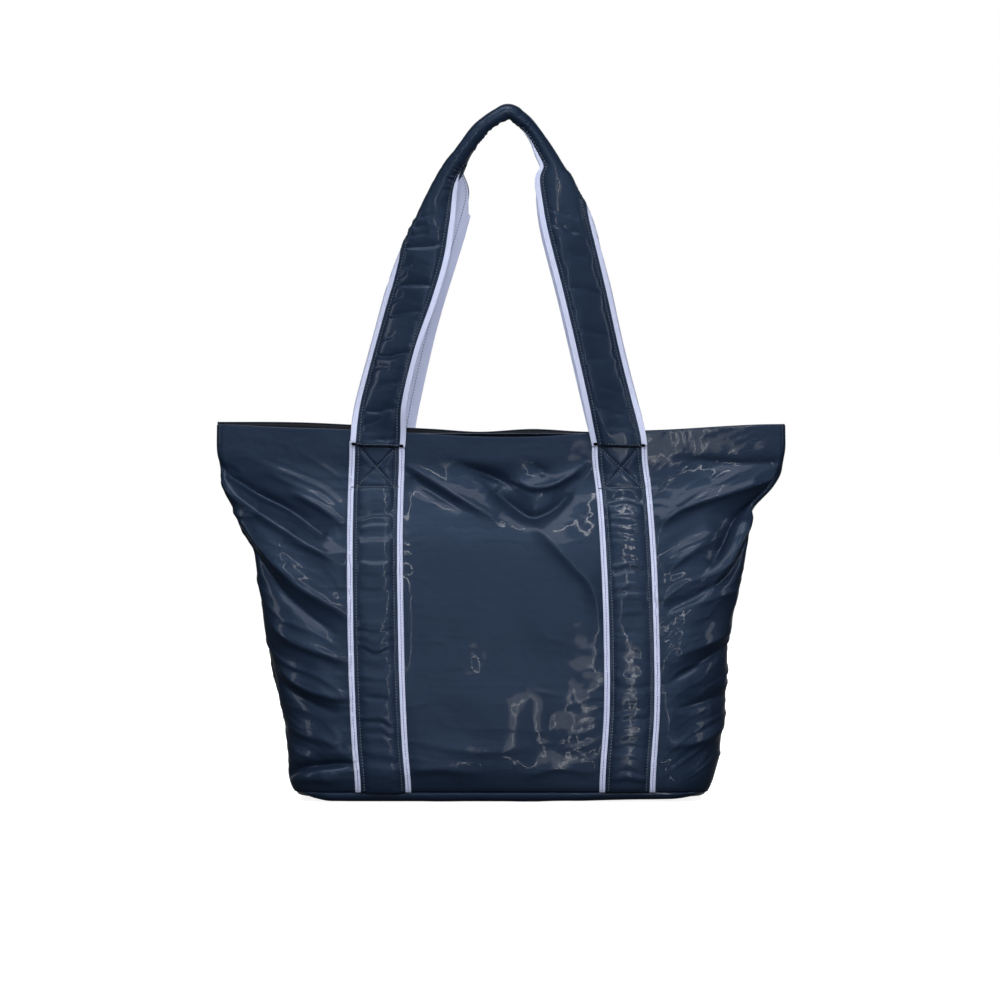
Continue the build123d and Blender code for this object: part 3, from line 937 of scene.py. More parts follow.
def hole_shade_along(line, normals):
    """Painted shade at the needle holes between the stitches of a row: low near-black domes, one at each
    hole.
    """
    at, end = reader(line)
    turn = 2 * math.pi * np.arange(HOLE_SIDES) / HOLE_SIDES
    crown, foot = HOLE_SIDES, HOLE_SIDES + 1
    faces = [(j, (j + 1) % HOLE_SIDES, crown) for j in range(HOLE_SIDES)]
    faces += [((j + 1) % HOLE_SIDES, j, foot) for j in range(HOLE_SIDES)]
    made = []
    for k in range(int(end / STITCH_PITCH) + 1):
        centre = at(k * STITCH_PITCH, line)
        normal = unit(at(k * STITCH_PITCH, normals))
        one = unit(np.cross(normal, TILTED))
        two = np.cross(normal, one)
        ring = centre + HOLE_RADIUS * (np.cos(turn)[:, None] * one + np.sin(turn)[:, None] * two)
        ring = ring - 0.15 * normal
        made.append((np.concatenate([ring, [centre + 0.12 * normal], [centre - 0.3 * normal]]), faces))
    return made


def spaced(path, step=1.2):
    """Even places, about a step apart, along straight lines through (s, z) points."""
    path = np.array(path, float)
    reached = run_length(path)
    count = sum(max(2, int(length / step)) for length in np.diff(reached)) + 1
    places = np.linspace(0, 1, count) * reached[-1]
    return np.interp(places, reached, path[:, 0]), np.interp(places, reached, path[:, 1])


STITCH_LIFT = 2.2  # of the rows on the strips, off the panel
MARGIN_LIFT = 1.38  # of the rows on the lilac margins
BOX_OVERRUN = 5  # how far the box's lower row goes on to either side


def strip_rows(face, side):
    """The rows of stitches on one strip, as paths of (s, z): its two edges, the box's foot and its cross."""
    line = STRAP_LINES[face, side]
    half = STITCH_FROM_MIDDLE
    z = np.arange(SEAM_Z + 2.0, strap_top(face, side) - 1.0, 3.0)
    rows = [list(zip(line(z) + edge * half, z)) for edge in BOTH]
    low, high = float(line(BOX_FOOT)), float(line(BOX_TOP))
    out = half + BOX_OVERRUN
    rows.append([(low - out, BOX_FOOT - 0.8), (low - half, BOX_FOOT), (low + half, BOX_FOOT),
                 (low + out, BOX_FOOT + 0.8)])
    rows += [[(low + edge * half, BOX_FOOT), (high - edge * half, BOX_TOP)] for edge in BOTH]
    return rows


def build_body_stitching():
    """The rows along each strip with painted shade at their needle holes, the crossed box at each strap's
    top, and the rows on the lilac margins.
    """
    made, shade_marks, margins = [], [], []
    for (face, side), line in STRAP_LINES.items():
        puckers = pucker(face, side)
        for path in strip_rows(face, side):
            s, z = spaced(path)
            normal = skin_normal(s, z, face)
            height = STITCH_LIFT + puckers(s - line(z), z)
            points = skin(s, z, face)[0] + normal * height[:, None]
            made += stitches_along(points, normal)
            shade_marks += hole_shade_along(points, normal)
        z = np.arange(SEAM_Z + 2.0, strap_top(face, side) - 1.0, 3.0)
        for edge in BOTH:
            s = line(z) + edge * (STRAP_WIDTH + STRIP_WIDTH) / 4
            normal = skin_normal(s, z, face)
            margin = skin(s, z, face)[0] + normal * MARGIN_LIFT
            margins += stitches_along(margin, normal, length=2.7, radius=0.36)
    for name, pieces, material, slot in (
        ("body_stitching", made, "thread", "navy_strip"),
        ("body_needle_hole_shade", shade_marks, "painted_shade", "navy_strip"),
        ("margin_stitching", margins, "lilac_thread_painted_groove_shade", "lilac_webbing"),
    ):
        settle(joined(name, pieces), "bag", slot, (material,))


# ------------------------------------------------------------------ handles
# Stations along each handle, foot to foot, traced from the photo: x and z of the middle of the band as
# seen from the front, its width, how much of the outer half is folded behind, how round and how
# pinched the fold is, how far out from the bag's middle plane it runs, and its twist in degrees
HANDLE_STATIONS = {
    "front": [
        (-111, 320.3, 50, 0, 0, 0, 17.3, 0), (-110.4, 327, 50, 0, 0, 0, 17.5, 0),
        (-106.8, 360, 50, 0, 0.4, 0, 17.5, 22),
        (-93.6, 412, 50, 0, 0.8, 0, 17, 27), (-79.3, 458, 50, 0, 1.2, 0, 16, 18),
        (-67, 495, 44.5, 0.22, 1.9, 0.1, 14.6, 8), (-57, 526, 33, 0.68, 3.2, 0.3, 12.8, 0),
        (-46.6, 561.9, 18.3, 1, 4.4, 0.7, 11, -12), (-32.8, 585.4, 16.8, 1, 4.8, 1, 10, -52),
        (-17.2, 606.9, 14.3, 1, 5, 1, 9.4, -62), (0.5, 619.9, 13.3, 1, 5, 1, 9.2, -58),
        (8.4, 622.5, 12.8, 1, 5, 1, 9.2, -48), (17, 616.7, 12.8, 1, 5, 1, 9.2, -26),
        (27.5, 605.4, 12.8, 1, 4.8, 1, 9.6, 6), (39.1, 586.4, 15.3, 1, 4.4, 0.9, 10.4, 8),
        (44.8, 575, 18.5, 0.97, 4.0, 0.7, 11.4, 6), (46.4, 564, 30.5, 0.7, 3.2, 0.4, 12.2, 4),
        (50.2, 550, 36, 0.52, 2.6, 0.2, 13, 4),
        (60.4, 521, 47.5, 0.08, 1.7, 0.1, 14.8, 10), (75.3, 464, 50, 0, 1.1, 0, 16.4, 17),
        (88.3, 407, 50, 0, 0.7, 0, 17.2, 20), (99.5, 360, 50, 0, 0.4, 0, 17.5, 15),
        (107.4, 327, 50, 0, 0, 0, 17.5, 0), (108.2, 320.3, 50, 0, 0, 0, 17.3, 0),
    ],
    "back": [
        (-105.2, 320.3, 50, 0, 0, 0, 17.3, 0), (-104.2, 327, 50, 0, 0, 0, 17.5, 0),
        (-98.6, 360, 50, 0, 0, 0, 17.6, 4),
        (-85.6, 418, 50, 0, 0, 0, 17.2, 8), (-75.4, 456, 50, 0.0, 0.2, 0, 16.4, 8),
        (-64.2, 492, 50, 0.04, 0.8, 0.1, 15.0, 5), (-51.0, 527, 45.0, 0.25, 2.2, 0.2, 12.6, 0),
        (-39.6, 553, 34.5, 0.6, 3.6, 0.5, 9.6, 6), (-35.8, 578, 16.0, 1, 4.0, 0.9, 7.0, 40),
        (-17.8, 606.5, 11.0, 1, 4.2, 1, 6.0, 50), (-1.0, 620.5, 10.5, 1, 4.2, 1, 5.8, 50),
        (8.0, 623.2, 11.0, 1, 4.2, 1, 5.8, 50), (16.5, 618.0, 11.0, 1, 4.2, 1, 5.8, 50),
        (28.5, 606.0, 11.5, 1, 4.2, 1, 6.2, 50), (42.0, 587.0, 13.0, 1, 4.2, 0.9, 7.2, 40),
        (46.6, 570, 21.0, 0.95, 3.8, 0.6, 9.4, 10), (50.2, 549, 36.0, 0.52, 2.6, 0.2, 12.0, 4),
        (59.6, 521, 47.5, 0.08, 1.0, 0.1, 14.8, 8), (75.3, 464, 50, 0, 0, 0, 16.4, 12),
        (88.8, 407, 50, 0, 0, 0, 17.2, 12), (100.0, 360, 50, 0, 0, 0, 17.5, 8),
        (108.6, 327, 50, 0, 0, 0, 17.5, 0), (109.4, 320.3, 50, 0, 0, 0, 17.3, 0),
    ],
}
# Pockets across the handles' strips, by leg: height, depth, slant, and the middle and half length across
LEG_POCKETS = {
    ("front", -1): [(501.5, 2.3, 0.06, 0, 19), (466.5, 2.3, -0.02, -1, 19), (484, 1.2, 0.1, -13, 7),
                    (475, 1.0, 0.1, -14, 6), (455, 1.2, 0.1, -13, 7), (530, 0.9, 0.1, -6, 12),
                    (521, 1.0, 0.1, -10, 10), (513, 1.0, 0.1, -8, 11), (440, 1.3, 0.12, -2, 17),
                    (419, 0.9, 0.1, -11, 9), (402, 1.9, 0.12, 1, 18), (391, 1.0, -0.1, -9, 10),
                    (376, 1.0, 0.2, 6, 13), (353, 1.8, 0.08, 0, 19), (344, 1.1, 0.25, -8, 11),
                    (327, 1.2, 0.05, 2, 17)],
    ("front", 1): [(530, 0.9, 0.3, 3, 14), (516, 1.3, 0.32, 2, 16), (494, 0.6, 0.1, -6, 11),
                   (462, 1.4, 0.18, 1, 17), (424, 1.0, 0.25, 3, 15), (398, 0.7, 0.1, 6, 10),
                   (372, 0.8, 0.2, -4, 12), (351, 1.3, 0.35, 3, 16), (338, 0.8, 0.2, -5, 12)],
    ("back", -1): [(510, 1.0, 0.2, 0, 17), (452, 1.2, -0.1, 0, 18), (398, 1.0, 0.1, 0, 17)],
    ("back", 1): [(488, 1.2, 0.1, 0, 17), (430, 1.1, 0.2, 0, 18), (372, 1.0, -0.1, 0, 17)],
}
# Along each grip, place from left to right, then how far the webbing's edges are tucked in behind the strip
GRIP_TUCK = curve_through([(-50, 0), (-40, 1), (16, 1), (24, 0.75), (33, 0.6), (39, 0)])
HANDLE_STEP = 1.25
HANDLE_SEED = {"front": 41, "back": 67}
BAND_HALF = 25  # half the webbing's width, where the surface ends


class Handle:
    """One handle loop: a strap folded along its middle towards the top, as a surface of (row, v)."""

    def __init__(self, face):
        self.face = face
        self.rows = dense_path(HANDLE_STATIONS[face], HANDLE_STEP)
        self.sign = -1.0 if face == "front" else 1.0
        self.centre = self.rows[:, :2]
        self.folded = np.clip(self.rows[:, 3], 0, 1)
        tangent = unit(np.gradient(self.centre, axis=0))
        self.inward = np.stack([tangent[:, 1], -tangent[:, 0]], axis=1)

    def base(self, v):
        """The strap's inner surface at places v across it, from its outer edge (-25) to its inner one."""
        half = STRAP_WIDTH / 2
        width, _, radius, pinch, depth, twist = (self.rows[:, k][:, None] for k in range(2, 8))
        v = np.broadcast_to(v, (len(self.rows), np.shape(v)[-1]))
        crease = -half + half * self.folded[:, None]
        tau = np.abs(v - crease) / (half - crease)
        layer = np.where(v >= crease, 1.0, -1.0)
        bend = np.clip(radius * 1.6 / width, 0.02, 0.5)
        round_off = np.sqrt(np.clip(1 - (1 - np.clip(tau / bend, 0, 1)) ** 2, 0, 1))
        close = 1 - np.clip(pinch, 0, 1) * 0.8 * smoothstep(0.25, 1.0, tau)
        out = layer * np.clip(radius, 0, 9) * round_off * close
        across = (tau - 0.5) * width
        turn = np.radians(twist)
        a = across * np.cos(turn) - out * np.sin(turn)
        n = out * np.cos(turn) + across * np.sin(turn)
        x = self.centre[:, :1] + self.inward[:, :1] * a
        z = self.centre[:, 1:2] + self.inward[:, 1:2] * a
        y = self.sign * (depth + n)
        return np.stack([x, y, z], axis=-1)

    def snapped(self, v):
        """Places across the strap, row by row, with the nearest one moved onto the fold's line."""
        rows = np.repeat(np.asarray(v, float)[None], len(self.rows), axis=0)
        line = STRAP_WIDTH / 2 * (self.folded - 1)
        nearest = np.abs(rows - line[:, None]).argmin(axis=1)
        inner = (nearest > 0) & (nearest < rows.shape[1] - 1)
        rows[np.arange(len(rows))[inner], nearest[inner]] = line[inner]
        return rows

    def surface(self, v, offset):
        """The surface offset outward from the strap's inner face, and its normals."""
        step = 0.25
        v = np.asarray(v, float)
        point = self.base(v)
        ahead, behind = np.clip(v + step, -BAND_HALF, BAND_HALF), np.clip(v - step, -BAND_HALF, BAND_HALF)
        across = self.base(ahead) - self.base(behind)
        along = np.gradient(point, axis=0)
        normal = unit(np.cross(along, across)) * self.sign
        return point + normal * np.broadcast_to(offset, point.shape[:2])[..., None], normal

    def gathered(self, v, along, x, seed):
        """Small pulls at the seams, and the ridges across the grip, stronger towards its left end."""
        rolled = self.folded[:, None]
        near_edge = smoothstep(4, 17, np.abs(v))
        height = 0.3 * value_noise(v / 26 + seed, along / 5.0, seed)
        height = height + 0.5 * value_noise(v / 40, along / 17, seed + 2)
        gather = 1 - 2.4 * np.abs(value_noise(v / 60, along / 6.0, seed + 4))
        height = height * (0.5 + 0.5 * near_edge) + rolled * near_edge * smoothstep(40, 0, x) * 1.1 * gather
        pull = np.clip(value_noise(v * 0 + np.sign(v), along / 4.4, seed + 8) - 0.15, 0, 1)
        return height - 1.3 * pull * bump_of(STITCH_FROM_MIDDLE - np.abs(v), 4.0) * (1 - 0.6 * rolled)

    def pockets(self, v, x, z, seed):
        """How deep the listed pockets across the legs are."""
        depth_here = 0.0
        for side in BOTH:
            on_leg = (x * side > 0) & (self.folded[:, None] < 0.97)
            for at, depth, slant, middle, span in LEG_POCKETS[self.face, side]:
                lens = np.sqrt(np.clip(1 - ((v - middle) / span) ** 2, 0, 1))
                off = z - at - slant * v + 1.8 * lens + 1.0 * value_noise(v / 7, at, seed)
                dip = np.where(off > 0, np.exp(-off / (0.6 + 4.6 * lens)), np.exp(off / 0.9))
                depth_here = depth_here + np.where(on_leg, 1.25 * depth * lens * dip, 0)
        return depth_here

    def pucker(self, v):
        """How far the strip stands off the webbing: pockets, pulls at the seams, gathers, a puffed middle."""
        v = np.broadcast_to(np.asarray(v, float), (len(self.rows), np.shape(v)[-1]))
        point = self.base(v)
        x, z = point[..., 0], point[..., 2]
        along = np.arange(len(self.rows))[:, None] * HANDLE_STEP
        seed = HANDLE_SEED[self.face]
        height = self.gathered(v, along, x, seed) - self.pockets(v, x, z, seed)
        height = height + puff(v, HANDLE_PUFF) * (1 - 0.6 * self.folded[:, None])
        height = height - 0.5 * bump_of(np.abs(v) - STITCH_FROM_MIDDLE, 1.3)
        return np.maximum(height, -0.5) * smoothstep(20.4, 17.6, np.abs(v))


GRIP_FOOT = 540  # the height above which a handle is rolled into its grip
HANDLE_STRIP_LOW = 1.2  # of the strip's underside, off the webbing's inner face
HANDLE_STITCH_LIFT = 1.95
FOOT_ROW_LIFT = 1.9


def handle_layer(handle, layer, width, low, thick):
    """The webbing or the strip of one handle as a closed sheet, foot to foot."""
    face = handle.face
    webbing = layer == "webbing"
    cols = 53 if webbing else 61
    v = handle.snapped(np.linspace(-width / 2, width / 2, cols))
    if webbing:
        tucked = GRIP_TUCK(handle.centre[:, 0]) * (handle.centre[:, 1] > GRIP_FOOT)
        v = v * (1 - tucked[:, None] * (1 - (STRIP_WIDTH - 1) / STRAP_WIDTH))
    inner, _ = handle.surface(v, low)
    outer, _ = handle.surface(v, low + thick + (0.0 if webbing else handle.pucker(v)))
    if not webbing:
        outer = turned_under(outer, inner)
    return shell_object(f"{face}_handle_{layer}_loop", outer, inner, flip=face == "front")


def handle_seams(handle):
    """The two rows of stitches along one handle, seen on both its faces, and the painted shade at their
    needle holes.
    """
    stitches, shade_marks = [], []
    for edge in BOTH:
        v = np.array([edge * STITCH_FROM_MIDDLE])
        line, normal = handle.surface(v, HANDLE_STITCH_LIFT + handle.pucker(v))
        stitches += stitches_along(line[:, 0], normal[:, 0])
        shade_marks += hole_shade_along(line[:, 0], normal[:, 0])
        line, normal = handle.surface(v, 0.0)
        stitches += stitches_along(line[:, 0], -normal[:, 0])
    return stitches, shade_marks


def foot_rows(handle):
    """The heavy row across each of a handle's feet, a painted shadow under it as a row of thick near-black
    stitches, and near-black bars at its ends.
    """
    v = np.linspace(-BAND_HALF, BAND_HALF, 61)
    line, normal = handle.surface(v, FOOT_ROW_LIFT + handle.pucker(v))
    half = STRIP_WIDTH / 2
    inside = np.abs(v) < half - 0.5
    bars = ((v > half) & (v < half + 3.4), (v < -half) & (v > -half - 3.4))
    stitches, shade_marks = [], []
    for k in (1, -2):  # the rows next to the loop's two ends
        stitches += stitches_along(line[k][inside], normal[k][inside], radius=THREAD_RADIUS * 1.15)
        # painted shadow: thick near-black stitches along the gap under the foot's edge
        low = line[k] - np.array([0, 0, 1.9])
        shade_marks += stitches_along(low[inside], normal[k][inside], length=2.9, radius=0.7)
        for bar in bars:
            for rise in (-1.2, -0.4, 0.4):
                start, end = line[k][bar][[0, -1]] + np.array([0, 0, rise])
                shade_marks.append(stitch(start, end, normal[k][len(v) // 2], 0.6))
    return stitches, shade_marks


def build_handles():
    for face in FACES:
        handle = Handle(face)
        made = []
        for layer, width, low, thick, slot, material in (
            ("webbing", STRAP_WIDTH, 0.0, WEBBING_THICK, "lilac_webbing", "webbing"),
            ("strip", STRIP_WIDTH, HANDLE_STRIP_LOW, STRIP_THICK, "navy_strip", "strip"),
        ):
            piece = handle_layer(handle, layer, width, low, thick)
            dress(piece, material, material)
            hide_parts(f"{face}_handle_left_{layer}", f"{face}_handle_right_{layer}")
            made.append(piece)
        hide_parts(f"{face}_handle_grip")
        seams, rows = handle_seams(handle), foot_rows(handle)
        for k, (name, material) in enumerate((("stitching", "thread"), ("needle_hole_shade", "painted_shade"))):
            piece = joined(f"{face}_handle_{name}", seams[k] + rows[k])
            dress(piece, material)
            made.append(piece)
        for piece in made:
            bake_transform(piece)


# ------------------------------------------------------------------ zips
COIL_PITCH = 1.7
COIL_WIRE = 0.34  # radius
COIL_SIDES = 5
TAPE_FROM = 2.2  # the tapes' inner edges, from the chain's middle
TAPE_HALF = 0.24  # half the tapes' thickness
COIL_EDGE = 4.0  # where the tapes come out from under the coils
STOP_RUN = 6  # from the end coils' far end to the end of the tape
STOP_LENGTH, STOP_WIDE, STOP_HIGH = 2.0, 3, 0.8
ZIP_SIDES = (("back", 1), ("front", -1))


def helix(x_low, x_high, inner, outer, half_height, side, place):
    """One coil of a zip as a thin tube. place puts (x, y, z) of the chain into the frame."""
    steps = 12
    count = int((x_high - x_low) / COIL_PITCH * steps)
    t = np.arange(count) / steps * 2 * math.pi
    phase = 0 if side > 0 else math.pi
    x = x_low + COIL_PITCH * t / (2 * math.pi)
    y = side * ((inner + outer) / 2 - (outer - inner) / 2 * np.cos(t + phase))
    z = half_height * np.sin(t + phase)
    line = place(np.stack([x, y, z], axis=1))
    along = unit(np.gradient(line, axis=0))
    one = unit(np.cross(along, TILTED))
    two = np.cross(along, one)
    turn = 2 * math.pi * np.arange(COIL_SIDES) / COIL_SIDES
    rings = line[:, None] + COIL_WIRE * (one[:, None] * np.cos(turn)[None, :, None]
                                         + two[:, None] * np.sin(turn)[None, :, None])
    return rings.reshape(-1, 3), tube_faces(count, COIL_SIDES)


def tape_sheet(name, x_low, x_high, y_low, y_high, place):
    """A zip tape between two places across the chain, with a thicker woven edge beside the coil."""
    cols, rows = max(8, int((x_high - x_low) / 2.5)), 12
    x = np.linspace(x_low, x_high, cols)[None, :]
    y = np.linspace(y_low, y_high, rows)[:, None]
    x, y = np.broadcast_arrays(x, y)
    half = TAPE_HALF + 0.16 * bump_of(np.abs(y) - 4.2, 0.7)
    wave = 0.06 * value_noise(x / 9, y / 6, 8.0)
    top, low = (place(np.stack([x, y, wave + way * half], axis=-1).reshape(-1, 3)).reshape(rows, cols, 3)
                for way in (1, -1))
    return shell_object(name, top, low, flip=y_high < y_low)


def chain_place(root):
    """The function that puts the mouth zip's chain into the frame, with its tapes' edges at the hems."""

    def place(p):
        p = np.array(p)
        for face, side in ZIP_SIDES:
            on = p[:, 1] * side > COIL_EDGE
            hem = np.abs(skin(p[:, 0], ZIP_Z + 0 * p[:, 0], face)[0][:, 1]) - FABRIC - 1.0
            share = np.clip((np.abs(p[:, 1]) - COIL_EDGE) / (root - COIL_EDGE), 0, 1)
            p[:, 1] = np.where(on, p[:, 1] + side * share * (hem - root), p[:, 1])
        p[:, 2] += ZIP_Z
        return p

    return place


def stop_block(x, sign, place):
    """The small block that ends a chain at x, on the side that sign gives."""
    corners = [(x + sign * dx, dy, dz) for dx in (0, STOP_LENGTH) for dy, dz in (
        (-STOP_WIDE, -STOP_HIGH), (STOP_WIDE, -STOP_HIGH), (STOP_WIDE, STOP_HIGH), (-STOP_WIDE, STOP_HIGH))]
    ends = [(0, 1, 2, 3), (7, 6, 5, 4)]
    return place(np.array(corners)), ends + [(k, k + 4, (k + 1) % 4 + 4, (k + 1) % 4) for k in range(4)]


def build_mouth_zip():
    """The two halves of the chain on their flaps, and the sewn ends with their stops."""
    low, high = node_box("back_zip_tape")
    end_low, end_high = node_box("right_zip_end_tape")
    coil_edge = node_box("back_zip_coil")[1][1]
    root = high[1]
    place = chain_place(root)
    for face, side in ZIP_SIDES:
        flap = f"{face}_tape_flap"
        tape = tape_sheet(f"{face}_tape", low[0], high[0], side * TAPE_FROM, side * root, place)
        settle(tape, flap, "zip_tape", ("tape", "tape"), f"{face}_zip_tape")
        coil = joined(f"{face}_coil", [helix(low[0], high[0], -0.35, coil_edge, 0.75, side, place)])
        settle(coil, flap, "zip_coil", ("coil",), f"{face}_zip_coil")
    for where, sign in (("right", 1), ("left", -1)):
        x_low, x_high = sorted((sign * end_low[0], sign * end_high[0]))
        coil_from, coil_to = (x_low, x_high - STOP_RUN) if sign > 0 else (x_low + STOP_RUN, x_high)
        # apart in the middle, where the slider's post runs
        coils = [helix(coil_from, coil_to, 0.75, coil_edge, 0.8, side, place) for side in BOTH]
        coils.append(stop_block(coil_to if sign > 0 else coil_from, sign, place))
        settle(joined(f"{where}_end_coils", coils), "bag", "zip_coil", ("coil",), f"{where}_zip_end_coil")
        for side in BOTH:
            name = f"{where}_end_tape_{'back' if side > 0 else 'front'}"
            half = tape_sheet(name, x_low, x_high, side * TAPE_FROM, side * (root - 0.4), place)
            settle(half, "bag", "zip_tape", ("tape", "tape"), f"{where}_zip_end_tape")


# ------------------------------------------------------------------ stow pouch
POUCH_EDGE = 1.2  # from the pouch's box in to its sheets' edges
POUCH_SHEET = 0.5
BINDING_CORNER = 4
BINDING_HALF = (1.1, 2.1)  # half the bound edge's width and depth
BINDING_SIDES = 10


def pouch_sheet(name, y, sign, low, high, tape_low, tape_high):
    """One of the pouch's two sheets; the one towards the bag's inside has a slot for the zip."""
    rows, cols = ((86, 100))
    x = np.linspace(low[0] + POUCH_EDGE, high[0] - POUCH_EDGE, cols)
    z = np.linspace(low[2] + POUCH_EDGE, high[2] - POUCH_EDGE, rows)
    gx, gz = np.meshgrid(x, z)
    edge = np.minimum(np.minimum(gx - low[0], high[0] - gx), np.minimum(gz - low[2], high[2] - gz))
    full = smoothstep(0, 22, edge)
    calm = 1 - bump_of(gz - (tape_low[2] + tape_high[2]) / 2, 16, 4)
    noise = value_noise(gx / 30, gz / 22, 91.0) + 0.6 * value_noise(gx / 12, gz / 16, 95.0)
    bulge = sign * (0.5 * full + 0.5 * noise * full * calm) - sign * 0.5
    points = np.stack([gx, y + bulge * 0.8, gz], axis=-1)
    middle_x, middle_z = (x[:-1] + x[1:]) / 2, (z[:-1] + z[1:]) / 2
    slot_x = (tape_low[0] + 1.5 < middle_x) & (middle_x < tape_high[0] - 1.5)
    slot_z = (tape_low[2] + 3 < middle_z) & (middle_z < tape_high[2] - 3)
    open_here = (slot_z[:, None] & slot_x[None, :]).reshape(-1)
    faces = grid_faces(rows, cols, flip=sign > 0)
    if sign < 0:
        faces = [quad for quad, slot in zip(faces, open_here) if not slot]
    piece = mesh_object(name, points.reshape(-1, 3), faces)
    thick = piece.modifiers.new("thickness", "SOLIDIFY")
    thick.thickness = POUCH_SHEET * MM
    thick.offset = 0
    settle(piece, "bag", "navy_nylon", ("nylon",), "pouch_body")


def pouch_binding(low, high):
    """The bound edge round the pouch, a flat tube along its outline."""
    near, far = POUCH_EDGE, BINDING_CORNER
    corners = [
        (low[0] + far, low[2] + near), (high[0] - far, low[2] + near),
        (high[0] - near, low[2] + far), (high[0] - near, high[2] - far),
        (high[0] - far, high[2] - near), (low[0] + far, high[2] - near),
        (low[0] + near, high[2] - far), (low[0] + near, low[2] + far),
    ]
    line = []
    for a, b in zip(corners, corners[1:] + corners[:1]):
        n = max(2, int(math.dist(a, b) / 3))
        line += [(a[0] + (b[0] - a[0]) * k / n, a[1] + (b[1] - a[1]) * k / n) for k in range(n)]
    line = np.array(line)
    along = unit(np.roll(line, -1, axis=0) - np.roll(line, 1, axis=0))
    side = np.stack([along[:, 1], -along[:, 0]], axis=1)
    turn = 2 * math.pi * np.arange(BINDING_SIDES) / BINDING_SIDES
    rings = np.zeros((len(line), BINDING_SIDES, 3))
    rings[..., 0] = line[:, :1] + side[:, :1] * np.cos(turn) * BINDING_HALF[0]
    rings[..., 2] = line[:, 1:] + side[:, 1:] * np.cos(turn) * BINDING_HALF[0]
    rings[..., 1] = (low[1] + high[1]) / 2 + np.sin(turn)[None] * BINDING_HALF[1]
    rings = np.concatenate([rings, rings[:1]])
    faces = grid_faces(len(rings), BINDING_SIDES, wrap=True)
    piece = mesh_object("pouch_edge_binding", rings.reshape(-1, 3), faces)
    settle(piece, "bag", "navy_nylon", ("tape",), "pouch_body")


def pouch_zip(tape_low, tape_high):
    chain_y, chain_z = ((tape_low[k] + tape_high[k]) / 2 for k in (1, 2))

    def place(p):
        p = np.array(p)
        return np.stack([p[:, 0], chain_y - p[:, 2], chain_z + p[:, 1]], axis=1)

    for side in BOTH:
        name = f"pouch_tape_{'upper' if side > 0 else 'lower'}"
        edge = side * (tape_high[2] - chain_z)
        tape = tape_sheet(name, tape_low[0], tape_high[0], side * TAPE_FROM, edge, place)
        settle(tape, "bag", "zip_tape", ("tape", "tape"), "pouch_zip_tape")
    coil_low, coil_high = node_box("pouch_zip_coil")
    coils = [helix(coil_low[0] + 1, coil_high[0] - 1, -0.35, 3.0, 0.9, side, place) for side in BOTH]
    settle(joined("pouch_coils", coils), "bag", "zip_coil", ("coil",), "pouch_zip_coil")


def build_pouch():
    """The stow pouch: two sheets of nylon with a bound edge and a zip across the upper part."""
    low, high = node_box("pouch_body")
    tape_low, tape_high = node_box("pouch_zip_tape")
    pouch_sheet("pouch_face", low[1] + 0.9, -1, low, high, tape_low, tape_high)
    pouch_sheet("pouch_lining", high[1] - 0.9, 1, low, high, tape_low, tape_high)
    pouch_binding(low, high)
    pouch_zip(tape_low, tape_high)
    made = []
    for z in (tape_low[2] - 1.6, tape_high[2] + 1.6):
        x = np.arange(tape_low[0] - 2, tape_high[0] + 2, 3.0)
        line = np.stack([x, np.full(len(x), low[1] + 0.55), np.full(len(x), z)], axis=1)
        made += stitches_along(line, np.tile([0.0, -1.0, 0.0], (len(x), 1)))
    settle(joined("pouch_stitching", made), "bag", "navy_nylon", ("thread",))


# ------------------------------------------------------------------ tapes over the seams inside
def build_side_bindings():
    foot = node_box("right_seam_binding")[0][2]
    for name, side in (("right", 1), ("left", -1)):
        z = np.linspace(foot, FACING_FOOT - 0.3, 90)[:, None]
        y = np.linspace(-4.5, 4.5, 9)[None, :]
        s = side * (reach(z, side) - np.abs(y))
        z = np.broadcast_to(z, s.shape)
        layers = []
        for inset in (FABRIC + 0.35, FABRIC + 1.1):
            x = skin(s, z, "front")[0][..., 0] - side * inset
            layers.append(np.stack([x, np.broadcast_to(y, x.shape), z + 0 * x], axis=-1))
        piece = shell_object(f"{name}_binding", *layers, flip=side < 0)
        settle(piece, "bag", "navy_binding", ("tape", "tape"), f"{name}_seam_binding")


def build_base_binding():
    low, high = node_box("base_seam_binding")
    ring, outward = seam_ring(120)
    lift = sole_lift(ring[:, 0], ring[:, 1])
    foot = low[2] + 1.4
    section = []
    for inset, height in ((1.6, foot), (1.6, high[2]), (2.4, high[2]), (2.4, foot)):
        row = ring - outward * inset
        row[:, 2] = height + lift * 0.3 * (height < SEAM_Z)
        section.append(row)
    section.append(section[0])
    piece = mesh_object("base_binding", np.concatenate(section), grid_faces(5, len(ring), wrap=True))
    settle(piece, "bag", "navy_binding", ("tape",), "base_seam_binding")


def dress_metal():
    """The sliders and pullers are the CAD model's own shapes."""
    for node in ("zip_slider", "zip_puller", "pouch_zip_slider", "pouch_zip_puller"):
        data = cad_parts[node].data
        data.materials.clear()
        data.materials.append(MATERIALS["metal"])


# ------------------------------------------------------------------ studio
# Name, place, width and height in metres, and power in watts of each lamp
LAMPS = [
    ("key", (-1.3, -2.7, 2.5), (0.9, 0.9), 47),
    ("fill", (1.6, -2.9, 2.0), (0.9, 0.9), 32),
    ("back_key", (1.3, 2.7, 2.5), (0.9, 0.9), 74),
    ("back_fill", (-1.6, 2.9, 1.6), (0.9, 0.9), 54),
    ("top", (-0.2, -0.9, 2.3), (1.6, 0.8), 16),
    ("left", (-2.2, -1.0, 0.9), (0.4, 1.2), 7),
    ("right", (2.2, -1.0, 0.9), (0.4, 1.2), 7),
    ("sheen", (0.29, -3.6, 0.5), (0.26, 1.5), 5.2),
    ("ambient", (0.1, -3.4, 1.0), (1.2, 1.2), 36),
]
UNSEEN_LAMPS = ("key", "fill", "back_key", "back_fill", "ambient")  # they don't show in the gloss
# Height, width and length of the long thin lamps, which the gloss draws out into fine wandering lines
TUBES = ((0.25, 0.014, 3.3), (3.7, 0.06, 3.6))
TUBE_POWER = 110  # watts for each square metre
AIM = (0, 0, 0.25)
